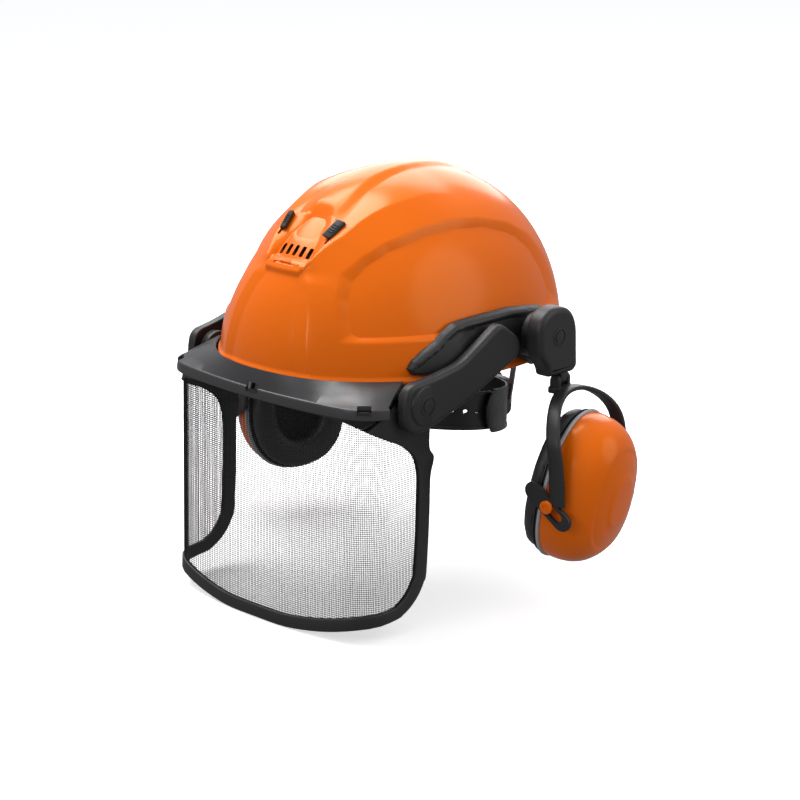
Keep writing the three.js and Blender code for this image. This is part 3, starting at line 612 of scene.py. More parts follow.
def make_buttons():
    for name, hand in (("left", 1), ("right", -1)):
        x = hand * BUTTON_X

        def along_skin(points):
            """Tips a button so that it lies along the shell's side slope."""
            points = points.copy()
            points[..., 0] += hand * 0.2 * (points[..., 1] - BUTTON_ALONG)
            points[..., 2] -= hand * 0.36 * (points[..., 0] - x) - 0.5
            return vent_place(points)

        rows = []
        for out, shrink in ((-2.2, 0.4), (0.1, 0), (0.7, 0), (1.1, 0.4), (1.2, 1.0)):
            ring = inset(section(6.6, 16.4, 1.2, 4), shrink) + [x, BUTTON_ALONG]
            rows.append(along_skin(layer(ring, out, 2)))
        grips = []
        for step in (-3.2, -1.1, 1.1, 3.2):
            ring = section(4.4, 1.1, 0.4, 2) + [x, BUTTON_ALONG + step]
            grips.append(loft([along_skin(layer(ring, out, 2)) for out in (0.9, 1.8)]))
        stem = vent_box(x, BUTTON_ALONG, -5.6, (2, 4, 10), 0.5)
        piece(
            f"vent_slider_{name}",
            joined(loft(rows), stem, *grips),
            "black_plastic",
            "vent_shutter",
            [f"vent_button_{name}"],
        )


# ---------------------------------------------------------------- visor

HINGE = joint_mm("visor_tilt")
FRONT, HALF, FRONT_RADIUS, CORNER_RADIUS = -151.0, 106.0, 420.0, 30.0
FRAME_IN, FRAME_THICK = 3.0, 4.0
PLAN_MIDDLE = FRONT + FRONT_RADIUS
PLAN_INSET = HALF - CORNER_RADIUS
PLAN_REACH = FRONT_RADIUS - CORNER_RADIUS
PLAN_CORNER_Y = PLAN_MIDDLE - math.sqrt(PLAN_REACH**2 - PLAN_INSET**2)
PLAN_TURN = math.asin(PLAN_INSET / PLAN_REACH)
FRONT_RUN = PLAN_TURN * FRONT_RADIUS
CORNER_RUN = (math.pi / 2 - PLAN_TURN) * CORNER_RADIUS
EAR = FRONT_RUN + CORNER_RUN + HINGE[1] - PLAN_CORNER_Y


def plan(run, offset, z):
    """The visor's plan: a shallow front arc, a round corner and a straight side."""
    run, offset, z = np.broadcast_arrays(*(np.asarray(v, float) for v in (run, offset, z)))
    far = np.abs(run)
    front = far / FRONT_RADIUS
    corner = PLAN_TURN + np.clip(far - FRONT_RUN, 0, CORNER_RUN) / CORNER_RADIUS
    x = np.where(
        far <= FRONT_RUN,
        (FRONT_RADIUS + offset) * np.sin(front),
        PLAN_INSET + (CORNER_RADIUS + offset) * np.sin(corner),
    )
    y = np.where(
        far <= FRONT_RUN,
        PLAN_MIDDLE - (FRONT_RADIUS + offset) * np.cos(front),
        PLAN_CORNER_Y - (CORNER_RADIUS + offset) * np.cos(corner),
    )
    y = y + np.maximum(far - FRONT_RUN - CORNER_RUN, 0)
    return np.stack([np.sign(run) * x, y, z], -1)


def arc(centre, radius, degrees):
    turn = np.radians(degrees)
    return np.column_stack([centre[0] + radius * np.cos(turn), centre[1] + radius * np.sin(turn)])


def frame_stations():
    """Half of the frame from chin to brow: outer and inner edge as (distance, z)."""
    outer = [(0, -183), (32, -183), (64, -179), (96, -172.3)]
    inner = [(0, -173.5), (32, -173.3), (64, -169), (94, -162.5)]
    outer += [*arc((126, -131), 39, np.linspace(-80, -14, 7))]
    inner += [*arc((124, -132), 28.5, np.linspace(-80, -14, 7))]
    outer += [(165.5, -100), (165.5, -78), (166, -66), (169, -54), (164, -46)]
    inner += [(153.5, -104), (153.5, -84), (153.5, -70), (151.5, -58), (147, -49)]
    outer.append((EAR + 17, -24))
    inner.append((138, -41.5))
    for degrees in np.linspace(15, 190, 8):
        outer.append(tuple(arc((EAR, HINGE[2]), 14, [degrees])[0]))
        share = (degrees - 15) / 175
        inner.append((130 - 35 * share, -37 + 14 * share))
    outer += [(100, -12), (64, -12), (32, -12), (0, -12)]
    inner += [(82, -19.5), (60, -18), (32, -17.6), (0, -17.4)]
    return np.array(outer, float), np.array(inner, float)


def make_frame():
    outer, inner = frame_stations()
    outer, inner = finer(outer, 4), finer(inner, 4)
    flip = [-1, 1]
    outer = np.vstack([outer, outer[-2:0:-1] * flip])
    inner = np.vstack([inner, inner[-2:0:-1] * flip])
    face, back, edge = -FRAME_IN, -FRAME_IN - FRAME_THICK, 1.1
    rings = []
    for start, end in zip(outer, inner):
        wide = np.linalg.norm(end - start)
        ring = []
        for corner, base in ((0, face), (1, face), (1, back), (0, back)):
            for turn in (0, 30, 60, 90):
                c = edge * (1 - math.cos(math.radians(turn)))
                s = edge * (1 - math.sin(math.radians(turn)))
                along, deep = (c, s) if (corner == 0) == (base == face) else (s, c)
                share = along / wide if corner == 0 else 1 - along / wide
                run, z = start + (end - start) * share
                ring.append((run, base - deep if base == face else base + deep, z))
        rings.append(ring)
    rings = np.array(rings)
    shape = loft(plan(rings[..., 0], rings[..., 1], rings[..., 2]), loop=True)
    parts = [shape]
    # A round eye stands round each hinge bore.
    for hand in (-1, 1):
        eye = [(96.2, 0), (96.2, 9), (96.8, 10.4), (98, 11), (104.1, 11), (104.9, 10.3), (105, 0)]
        centre = [0, HINGE[1], HINGE[2]]
        parts.append(lathe([(hand * x, r) for x, r in eye], centre))
    piece("visor_rim", joined(*parts), "black_plastic", "visor", ["visor_frame"])


def span_at(run, edges):
    """Lowest and highest z of the frame's inner edge at a distance along the plan."""
    widest = int(np.argmax(edges[:, 0]))
    chin, brow = edges[: widest + 1], edges[widest:][::-1]
    low = np.interp(run, chin[:, 0], chin[:, 1])
    return low, np.interp(run, brow[:, 0], brow[:, 1])


WIRE = 0.4
WIRE_PITCH = 1.55
WIRE_WEAVE = 0.12  # how far an upright wire stands before or behind the sheet's middle


def make_mesh():
    """Woven wire: upright wires and level wires that pass in front and behind."""
    inner = finer(frame_stations()[1], 4)
    widest = inner[:, 0].max() - 0.4
    middle = -FRAME_IN - FRAME_THICK / 2
    points, faces = [], []

    def wire(path, across, depth):
        start = len(points)
        for p, a, d in zip(path, across, depth):
            points.extend([p + a * WIRE / 2, p + d * WIRE / 2, p - a * WIRE / 2, p - d * WIRE / 2])
        for i in range(len(path) - 1):
            for j in range(4):
                k = (j + 1) % 4
                here = start + 4 * i
                faces.append((here + j, here + k, here + 4 + k, here + 4 + j))

    count = int(widest / WIRE_PITCH)
    for i in range(-count, count + 1):
        run = i * WIRE_PITCH
        low, high = span_at(abs(run), inner)
        if high - low < 2:
            continue
        path = plan(run, middle + WIRE_WEAVE * (-1) ** i, [low - 1.2, high + 1.2])
        along = unit(plan(run + 0.5, middle, 0) - plan(run - 0.5, middle, 0))
        out = np.cross(along, [0, 0, 1.0])
        wire(path, [along] * 2, [out] * 2)
    for z in np.arange(inner[:, 1].min() + 0.6, inner[:, 1].max(), WIRE_PITCH):
        below = [run for run in np.arange(0, widest, 0.5) if span_at(run, inner)[0] <= z]
        fits = [run for run in below if span_at(run, inner)[1] >= z]
        if not fits:
            continue
        low, high = min(fits), max(fits) + 1.0
        stretches = [(-high, high)] if low < 1 else [(-high, -low + 1), (low - 1, high)]
        for start, end in stretches:
            runs = np.linspace(start, end, max(int((end - start) / 4), 3))
            path = plan(runs, middle, z)
            along = unit(np.gradient(path, axis=0))
            out = np.cross(along, [0, 0, 1.0])
            wire(path, [np.array([0, 0, 1.0])] * len(runs), out)
    shape = (np.array(points), faces)
    piece("visor_wires", shape, "mesh_wire", "visor", ["visor_mesh"], sharp=180)


NOTCHES = ((-99, 10), (0, 12), (99, 10))  # along the plan, and wide
LEDGE = dict(end=118, z=-8, wall=8, wall_thick=2.5, gap=3.4, lap=0.6, thick=2.6)


def make_ledge():
    steps = 150
    share = np.linspace(-1, 1, steps)
    run = LEDGE["end"] * share
    angle = np.radians(-90 + 46 * np.sign(share) * np.abs(share) ** 0.92)
    rim = dome(angle, 0.02, LEDGE["gap"])
    top, thick, low = LEDGE["z"], LEDGE["thick"], LEDGE["z"] - LEDGE["wall"]
    lap = rim + [0, 0, LEDGE["lap"]]
    front = [
        (-LEDGE["wall_thick"], top - thick),
        (-LEDGE["wall_thick"], low + 0.4),
        (-LEDGE["wall_thick"] + 0.4, low),
        (-0.4, low),
        (0, low + 0.4),
        (0, top - 1.4),
        (-0.25, top - 0.6),
        (-0.8, top - 0.15),
        (-1.8, top),
    ]
    rings = [plan(run, out, z) for out, z in front]
    face, under = rings[-1], rings[0]
    for t in (0.3, 0.62, 0.82):
        rise = 1.0 * math.sin(math.pi * t)
        rings.append(face * (1 - t) + lap * t + [0, 0, rise])
    inward = unit(rim - face)
    rings += [lap - inward * 0.6 + [0, 0, 0.05], lap - [0, 0, 0.5], lap - [0, 0, thick - 0.4]]
    rings += [lap * 0.98 + under * 0.02 - [0, 0, thick]]
    rings = np.array(rings).transpose(1, 0, 2)
    shape, slot = loft(rings), "black_plastic"
    ledge = piece("brow_ledge", shape, "ledge_plastic", "visor", ["visor_ledge"])
    cuts, clips = [], []
    for run_at, wide in NOTCHES:
        middle = plan(run_at, 0, top)
        along = unit(plan(run_at + 1, 0, 0) - plan(run_at - 1, 0, 0))
        out = np.cross(along, [0, 0, 1.0])

        def block(wide_by, deep_in, deep_out, low_z, high_z):
            corners = []
            for z in (low_z, high_z):
                corners.append(
                    [
                        middle + along * u * wide_by / 2 + out * v + [0, 0, z]
                        for u, v in ((-1, -deep_in), (1, -deep_in), (1, deep_out), (-1, deep_out))
                    ]
                )
            return loft(corners)

        cuts.append(block(wide, 5.2, 2, -4.2, 3))
        clips.append(block(wide - 2.4, 3.4, -0.9, -4.6, -2.2))
        clips.append(block(wide + 1, 6.4, -0.4, -5.0, -3.0))
    carve(ledge, joined(*cuts))
    piece("ledge_clips", joined(*clips), "black_plastic", "visor")


# ---------------------------------------------------------------- carriers, arms and blocks

BLOCK_PIN = joint_mm("block_turn_left")
ARM_IN, ARM_OUT, LEAN, LEAN_FROM = 114.2, 123.0, 0.1, -15.0
ARM_FACE = ARM_OUT + LEAN * (HINGE[1] - LEAN_FROM)
CARRIER_FRONT, CARRIER_REAR = -87, 55.5
CARRIER_TOP = (
    [-87, -84, -76, -66, -60, -50, -40, -20, 5, 30, 45, 53.5, 55.5],
    [12, 17, 23.5, 29.5, 35, 40.5, 42.3, 43.6, 44.2, 41.6, 39, 34, 28],
)
CARRIER_LOW = (
    [-87, -84, -70, -50, -30, 0, 12, 20, 26, 30, 45, 53.5, 55.5],
    [12, 7, 6.4, 7.0, 6.7, 6.3, 5.8, 3.0, -1.0, -2.8, -3, -2.6, 2],
)
ARM_OUTLINE = rounded([
    [-111.5, -10.5, 12], [-108.5, 6.5, 9], [-84, 9.5, 10], [-58, 15.5, 9], [-21.5, 40, 6],
    [-0.5, 25, 9], [-2.5, 12, 6], [-50, -13, 12], [-82.5, -25.5, 9], [-97.5, -30.5, 9],
    [-109.5, -24.5, 9],
])  # fmt: skip
BLOCK_OUTLINE = rounded([
    [4, 13, 4], [2, 37, 10], [14, 47.5, 10], [35, 46, 10], [45, 34, 9], [47.5, -1, 3],
    [43, -4.6, 2], [15, -4.6, 3], [13, 2, 3],
])  # fmt: skip


def make_carrier(name, hand):
    """A plate that follows the shell, with a rib along its top and a sunk middle."""
    columns, rows = 150, 26
    y = np.linspace(CARRIER_FRONT, CARRIER_REAR, columns)[:, None]
    top, low = np.interp(y, *CARRIER_TOP), np.interp(y, *CARRIER_LOW)
    z = low + (top - low) * np.linspace(0, 1, rows)[None, :]
    y = np.broadcast_to(y, z.shape)
    base = dome_at(y, z)
    ends = np.minimum(y - CARRIER_FRONT, CARRIER_REAR - y)
    edge = np.minimum(np.minimum(top - z, z - low), ends)
    round_off = np.sqrt(1 - (1 - ramp(0, 2.2, edge)) ** 2)
    thick = 4.6 * round_off
    rib = smooth(1.6, 2.6, top - z) * (1 - smooth(4.4, 5.6, top - z)) * smooth(3, 8, ends)
    sunk = smooth(6.0, 7.4, top - z) * smooth(3.0, 5.0, z - low) * smooth(-50, -34, y)
    thick = thick + 1.3 * rib - 1.9 * sunk * smooth(6, 9, ends)
    outer = np.stack([base + 0.6 + np.maximum(thick, 0.2), y, z], -1)
    inner = np.stack([base + 0.5, y, z], -1)
    faces = []
    size = columns * rows
    for i in range(columns - 1):
        for j in range(rows - 1):
            a = i * rows + j
            quad = (a, a + rows, a + rows + 1, a + 1)
            faces += [quad, tuple(size + v for v in quad[::-1])]
    border = [i * rows for i in range(columns)]
    border += [(columns - 1) * rows + j for j in range(1, rows)]
    border += [i * rows + rows - 1 for i in range(columns - 2, -1, -1)]
    border += list(range(rows - 2, 0, -1))
    for a, b in zip(border, border[1:] + border[:1]):
        faces.append((a, b, size + b, size + a))
    points = np.vstack([outer.reshape(-1, 3), inner.reshape(-1, 3)])
    shape = mirrored((points, faces), hand)
    piece(
        f"side_carrier_{name}", shape, "black_plastic", "helmet", [f"carrier_{name}"], sharp=50
    )


def leaning(points):
    points = points.copy()
    points[..., 0] += LEAN * (points[..., 1] - LEAN_FROM)
    return points


def ring_groove(face, radius, start, groove=0.72):
    """A round head with one groove in its face, as a profile from the inside out."""
    g = radius * groove
    return [
        (start, 0),
        (start, radius),
        (face - 0.5, radius),
        (face - 0.15, radius - 0.15),
        (face, radius - 0.6),
        (face, g + 0.7),
        (face - 0.9, g + 0.5),
        (face - 0.9, g - 0.5),
        (face, g - 0.7),
        (face + 0.15, g * 0.5),
        (face + 0.2, 0),
    ]


def make_arm(name, hand):
    body = f"visor_arm_{name}"
    arm = plate(ARM_OUTLINE, ARM_IN, ARM_OUT, (1.2, 3.2), place=leaning)
    # The disc that carries the hinge stands a little proud of the arm.
    centre = [0, HINGE[1], HINGE[2]]
    disc = lathe(
        [
            (103.8, 0),
            (103.8, 12.4),
            (104.4, 13),
            (ARM_FACE - 3, 15.6),
            (ARM_FACE - 0.8, 15.4),
            (ARM_FACE + 0.1, 14.6),
            (ARM_FACE + 0.4, 13.4),
            (ARM_FACE + 0.4, 0),
        ],
        centre,
    )
    piece(f"arm_{name}", mirrored(joined(arm, disc), hand), "black_plastic", body, [body])
    head = lathe(ring_groove(ARM_FACE + 0.9, 7.6, 98.4), centre)
    node = f"visor_hinge_pin_{name}"
    piece(f"hinge_head_{name}", mirrored(head, hand), "black_plastic", body, [node])
    finish_cad(f"visor_arm_pin_{name}", "pin_steel")


def finish_cad(node, look):
    made = frame["nodes"][node]
    made.data.materials.clear()
    made.data.materials.append(looks[look])


def make_block(name, hand):
    body = f"muff_block_{name}"
    block = plate(BLOCK_OUTLINE, 125, 139, (1.5, 4.5), steps=7)
    centre = [0, BLOCK_PIN[1], BLOCK_PIN[2]]
    back = lathe([(114.4, 0), (114.4, 14.2), (115.2, 15), (126, 15), (126, 0)], centre)
    origin, ways = hang(name)
    lug = []
    for y in np.linspace(-4.5, 4.5, 7):
        shrink = 0.5 if abs(y) > 4 else 0
        turn = np.linspace(math.pi, 2 * math.pi, 13)
        r = 3.8 - shrink
        ring = [(r * math.cos(t), y, r * math.sin(t)) for t in turn] + [(r, y, 8), (-r, y, 8)]
        lug.append(ring)
    upright = np.array([ways[0] * [1, 1, 0], ways[1], [0, 0, 1.0]])
    upright[0] = unit(upright[0])
    points, faces = loft(lug)
    lug = (origin + points @ upright, faces)
    shape = joined(mirrored(joined(block, back), hand), lug)
    piece(f"block_{name}", shape, "black_plastic", body, [body])
    head = lathe(ring_groove(139.5, 7, 110), centre)
    node = f"muff_block_pin_{name}"
    piece(f"block_head_{name}", mirrored(head, hand), "black_plastic", body, [node])


# ---------------------------------------------------------------- muffs

SLOPE = math.radians(38)
YOKE = dict(span=47.2, arch=33.5, arch_z=-40, out=29, thick=3.6)
CUP = dict(out=15, down=-77.5, tilt=10, half=42.5, tall=57, depth=42, thick=2.5)
CUP_PIN = np.array([21.0, 0, -82.0])
CUP_POWER, CUP_DOME = 2.25, 2 / 2.8
CUP_TURN = np.linspace(0, 2 * math.pi, 96, endpoint=False)


def hang(name):
    """The neck hinge of a muff and its own directions: outwards, rearwards and up."""
    origin = joint_mm(f"yoke_swing_{name}")
    back = np.array(joints[f"yoke_swing_{name}"]["axis"])
    back = back if back[1] > 0 else -back
    slot = np.array(joints[f"cup_height_{name}"]["axis"])
    rise = np.cross(slot, back)
    rise = rise if rise[2] > 0 else -rise
    out = math.cos(SLOPE) * slot + math.sin(SLOPE) * rise
    up = -math.sin(SLOPE) * slot + math.cos(SLOPE) * rise
    return origin, np.array([out, back, up])


def hung(shape, name):
    points, faces = shape
    origin, ways = hang(name)
    return origin + np.asarray(points) @ ways, faces


def in_cup(shape):
    """From the cup's own frame to the muff's frame."""
    points, faces = shape
    t = math.radians(CUP["tilt"])
    turn = np.array([[math.cos(t), 0, -math.sin(t)], [0, 1, 0], [math.sin(t), 0, math.cos(t)]])
    return np.asarray(points) @ turn + [CUP["out"], 0, CUP["down"]], faces


def stadium(centre, length, radius, steps=12):
    """A long round-ended outline in (x, z), sloping down outwards."""
    turn = np.linspace(math.pi / 2, 1.5 * math.pi, steps)
    left = np.column_stack([radius * np.cos(turn), radius * np.sin(turn)])
    right = np.column_stack([length - radius * np.cos(turn), -radius * np.sin(turn)])
    ring = np.vstack([left, right])
    c, s = math.cos(-SLOPE), math.sin(-SLOPE)
    return ring @ np.array([[c, s], [-s, c]]) + centre


def slotted_link(hand):
    """The slotted link at one foot of the yoke."""
    way = np.array([math.cos(SLOPE), -math.sin(SLOPE)])
    pin = CUP_PIN[[0, 2]]
    outside = stadium(pin - way * 16, 32, 6.6)
    slot = stadium(pin, 11, 3.6)
    low, high = sorted(hand * np.array([YOKE["span"] - 1.8, YOKE["span"] + 1.9]))
    rings = []
    for y, by in ((low, 0.6), (low + 0.6, 0), (high - 0.6, 0), (high, 0.6)):
        ring = outside + (pin - outside) * by * 0.05
        rings.append(layer(ring, y, 1))
    for y, by in ((high, 0.5), (high - 0.5, 0), (low + 0.5, 0), (low, 0.5)):
        middle = pin + way * 5.5
        ring = slot + (slot - middle) * by * 0.06
        rings.append(layer(ring, y, 1))
    return loft(rings, loop=True)


def make_yoke(name):
    body = f"muff_yoke_{name}"
    turn = np.radians(np.linspace(180, 0, 49))
    arch = np.column_stack(
        [YOKE["span"] * np.cos(turn), YOKE["arch_z"] + YOKE["arch"] * np.sin(turn)]
    )
    leg = [[-YOKE["span"], z] for z in np.linspace(-80.5, -44, 12)]
    path = np.vstack([leg, arch, [[-y, z] for y, z in leg[::-1]]])
    way = unit(np.gradient(path, axis=0))
    out = YOKE["out"] * (1 - np.exp(path[:, 1] / 22))
    wide = 10 + 3 * np.clip(-path[:, 1] / 85, 0, 1)
    profile = section(1, 1, 0.28, 4)
    rings = []
    for (y, z), (wy, wz), x, w in zip(path, way, out, wide):
        normal = np.array([0, -wz, wy])
        centre = np.array([x, y, z])
        lift = 0.5 * np.clip(1 - np.abs(profile[:, :1]) * 4, 0, 1) * np.sign(profile[:, 1:])
        ring = centre + profile[:, :1] * w * [1, 0, 0]
        rings.append(ring + (profile[:, 1:] * YOKE["thick"] + lift) * normal)
    parts = [loft(rings)]
    parts.append(plate(section(19, 5.4, 1.6, 4) - [0, 7.3], -5, 5, (1.2, 1.2)))
    for hand in (-1, 1):
        low, high = sorted((hand * 4.9, hand * 8.5))
        turn = np.linspace(0, math.pi, 15)
        rows = []
        for y, by in ((low, 0.5), (low + 0.5, 0), (high - 0.5, 0), (high, 0.5)):
            r = 4 - by
            ring = [(r * math.cos(t), y, r * math.sin(t)) for t in turn]
            rows.append(ring + [(-r, y, -7), (r, y, -7)])
        parts += [loft(rows), slotted_link(hand)]
    piece(f"yoke_{name}", hung(joined(*parts), name), "black_plastic", body, [body])
    finish_cad(f"yoke_hinge_pin_{name}", "pin_steel")
    for end, hand in (("front", -1), ("rear", 1)):
        face = YOKE["span"] + 4.4
        profile = [(43.4, 0), (43.4, 3.2), (YOKE["span"] + 2.2, 3.2), (YOKE["span"] + 2.2, 4.9)]
        profile += [(face - 0.7, 5.0), (face - 0.2, 4.6), (face, 3.9), (face, 2.2)]
        profile += [(face - 0.7, 2.0), (face - 0.7, 0)]
        pin = lathe([(hand * y, r) for y, r in profile], CUP_PIN, "y", 40)
        node = f"cup_pin_{end}_{name}"
        piece(f"pin_{end}_{name}", hung(pin, name), "orange_shell", f"cup_pins_{name}", [node])


def cup_ring(x, grow=0.0, scale=1.0):
    """The cup's egg-shaped outline at a depth, grown by a distance and then scaled."""
    half, tall = (CUP["half"] + grow) * scale, (CUP["tall"] + grow) * scale
    y, z = superellipse(CUP_TURN, half, tall, CUP_POWER)
    egg = 1 - 0.09 * z / CUP["tall"]
    return layer(np.column_stack([y * egg, z]), x)


def ring_loft(rows, wide, tall):
    """A closed ring of section rows (x, share from the opening to the outline, grow)."""
    rings = []
    hole = np.column_stack(superellipse(CUP_TURN, wide, tall, CUP_POWER))
    for x, share, grow in rows:
        edge = cup_ring(x, grow)
        inner = layer(hole, x)
        rings.append(inner + (edge - inner) * share)
    return loft(rings, loop=True)


# Rows of (x, share from the opening to the outline, grow).
SEAL = [(-3, 0, 0.2), (-2.9, 1, 0.2), (-2.4, 1, 0.9)]
SEAL += [(-1.0, 1, 0.9), (-0.4, 1, 0.2), (-0.3, 0, 0.2)]
BASE = [(-5.3, 0, -1.5), (-5.2, 1, -1.9), (-4.8, 1, -1.5), (-3.6, 1, -1.5), (-3.3, 0, -1.5)]


def make_cup(name):
    body = f"cup_{name}"
    rings = []
    for t in np.linspace(0, math.pi / 2 - 0.02, 44):
        # The dome is full at its shoulder and carries a low plateau with a soft step.
        scale = math.cos(t) ** CUP_DOME
        x = CUP["depth"] * math.sin(t) ** CUP_DOME
        fall = 1 - scale
        step = 0.9 * float(smooth(0.60, 0.66, fall)) - 0.9 * float(smooth(0.3, 0.34, fall))
        x += step * (x > 6)
        swell = 0.5 * float(smooth(2.6, 3.4, x)) - 0.5
        rings.append(cup_ring(x, swell, max(scale, 0.03)))
    wall = -CUP["thick"]
    inside = [cup_ring(x, wall, s) for x, s in ((38, 0.2), (36, 0.5), (30, 0.75), (16, 0.93))]
    inside += [cup_ring(0.4, wall), cup_ring(0, -1.6), cup_ring(0, -0.5)]
    foam = [cup_ring(3.0, -12, 0.5), cup_ring(3.2, -9.5, 0.8), cup_ring(4, -8.5, 0.9)]
    foam += [cup_ring(6, -7, 0.95), cup_ring(18, -7, 0.9), cup_ring(30, -8, 0.7)]
    for label, shape, look, node in (
        ("shell", loft([*inside, *rings]), "orange_shell", "shell"),
        ("seal", ring_loft(SEAL, 38, 51), "seal_grey", "ring"),
        ("base", ring_loft(BASE, 22, 34), "black_plastic", "plate"),
        ("foam", loft(foam), "foam", "foam"),
    ):
        placed = hung(in_cup(shape), name)
        piece(f"muff_{label}_{name}", placed, look, body, [f"cup_{node}_{name}"])
    make_cushion(name, body)


# Rows of (depth share, share from the opening to the outline).
CUSHION = [(0, 0.02), (0, 0.5), (0, 0.96), (0.2, 1.0), (0.5, 1.0), (0.8, 0.95), (0.95, 0.78)]
CUSHION += [(1.0, 0.5), (0.95, 0.22), (0.75, 0.04), (0.4, 0.0)]


def make_cushion(name, body):
    """The ear cushion: a padded ring in a soft skin with a welded seam round its edge."""
    rows = [(-5.6 - 12.4 * deep, 0.08 + 0.87 * out, -1.2) for deep, out in CUSHION]
    shape = hung(in_cup(ring_loft(rows, 19, 31)), name)
    node = f"cup_cushion_{name}"
    cushion = piece(f"cushion_{name}", shape, "cushion_skin", body, [node], sharp=180)
    inflate(cushion, voxel=3.0, pressure=4.0, most=2.2)
    rows = [(-5.5, 0.93, -1.0), (-5.5, 1.0, -0.7), (-6.3, 1.0, -0.5), (-6.6, 0.97, -0.7)]
    weld = hung(in_cup(ring_loft(rows, 19, 31)), name)
    piece(f"cushion_weld_{name}", weld, "cushion_skin", body)


CLOTH_FRAMES = 16


def inflate(made, voxel, pressure, most):
    """Fills a padded piece with cloth under pressure, keeping each point near its start."""
    remesh = made.modifiers.new("even", "REMESH")
    remesh.mode, remesh.voxel_size = "VOXEL", voxel * MM
    evaluated(made)
    start = np.array([v.co for v in made.data.vertices])
    cloth = made.modifiers.new("cloth", "CLOTH")
    settings = cloth.settings
    settings.quality, settings.mass = 5, 0.2
    settings.tension_stiffness = settings.compression_stiffness = 12
    settings.bending_stiffness = 0.4
    settings.use_pressure, settings.uniform_pressure_force = True, pressure
    settings.effector_weights.gravity = 0
    cloth.point_cache.frame_end = CLOTH_FRAMES
    scene = bpy.context.scene
    for step in range(1, CLOTH_FRAMES + 1):
        scene.frame_set(step)
    evaluated(made)
    scene.frame_set(1)
    end = np.array([v.co for v in made.data.vertices])
    move = end - start
    length = np.linalg.norm(move, axis=1, keepdims=True)
    end = start + move * np.minimum(1, most * MM / np.maximum(length, 1e-9))
    made.data.vertices.foreach_set("co", end.astype(np.float32).ravel())
    subdivide = made.modifiers.new("finer", "SUBSURF")
    subdivide.levels = subdivide.render_levels = 1
    evaluated(made)
    soften(made.data, 180)


# ---------------------------------------------------------------- harness

BAND = dict(half=72, long=90, z=-40, slope=-0.2, height=30, thick=1.6)
NAPE_OFFSET = BAND["thick"] + 2.4
PAD_THICK = 4.6


def band_point(angle, offset):
    c, s = np.cos(angle), np.sin(angle)
    out = unit(np.stack([c / BAND["half"], s / BAND["long"], 0 * c], -1))
    point = np.stack([BAND["half"] * c, BAND["long"] * s, 0 * c], -1)
    z = BAND["z"] + BAND["slope"] * point[..., 1]
    point[..., 2] = z
    return point + out * np.asarray(offset)[..., None], out


def band(start, end, offset, thick, height, steps=150, profile=None):
    """A band round the head between two angles in degrees."""
    angle = np.radians(np.linspace(start, end, steps))
    profile = section(thick, height, min(thick * 0.45, 2.5), 4) if profile is None else profile
    middle, out = band_point(angle, np.full(steps, offset + thick / 2))
    from_end = np.minimum(np.arange(steps), steps - 1 - np.arange(steps))
    taper = np.minimum(1, np.sqrt(ramp(-0.5, 7, from_end)))
    rings = []
    for point, way, share in zip(middle, out, taper):
        rings.append(point + profile[:, :1] * way + profile[:, 1:] * share * [0, 0, 1])
    return loft(rings)


def ribs(start, end, offset, heights, thick=0.8, tall=2.2):
    parts = []
    for up in heights:
        points, faces = band(start, end, offset, thick, tall, 120)
        parts.append((points + [0, 0, up], faces))
    return parts


def make_harness():
    thick, height = BAND["thick"], BAND["height"]
    belt = band(-225, 45, 0, thick, height, 220)
    parts = [belt, *ribs(-222, 42, thick - 0.2, (-height / 2 + 2, height / 2 - 2))]
    ring = piece("head_belt", joined(*parts), "black_plastic", "helmet", ["headband"])
    places = [*range(-216, -170, 9), *range(-10, 37, 9)]
    carve(ring, joined(*(band_slot(degrees, -2, thick + 3, 6, 3) for degrees in places)))
    profile = section(PAD_THICK, height + 3, 2.2, 5)
    pad = band(-149, -31, -5.2, PAD_THICK, height + 3, 120, profile)
    sweat = piece("brow_pad", pad, "sweat_skin", "helmet", ["sweatband"], sharp=180)
    inflate(sweat, voxel=2.4, pressure=3.0, most=1.2)
    nape = band(12, 168, NAPE_OFFSET, 2, 34, 180)
    parts = [nape, *ribs(14, 166, NAPE_OFFSET + 1.8, (-15, 15))]
    ring = piece("nape_belt", joined(*parts), "black_plastic", "nape", ["nape_band"])
    windows = [band_slot(d, NAPE_OFFSET - 1, 5, 9, 5) for d in (50, 60, 120, 130)]
    carve(ring, joined(*windows))


def band_slot(degrees, offset, deep, wide, tall):
    """A block through the band at an angle, to be cut out of it."""
    point, out = band_point(np.radians(np.array([degrees])), np.array([0.0]))
    point, out = point[0], out[0]
    along = np.array([-out[1], out[0], 0])
    ring = section(wide, tall, tall * 0.4, 4)
    rows = []
    for depth in (offset, offset + deep):
        rows.append(point + out * depth + ring[:, :1] * along + ring[:, 1:] * [0, 0, 1])
    return loft(rows)


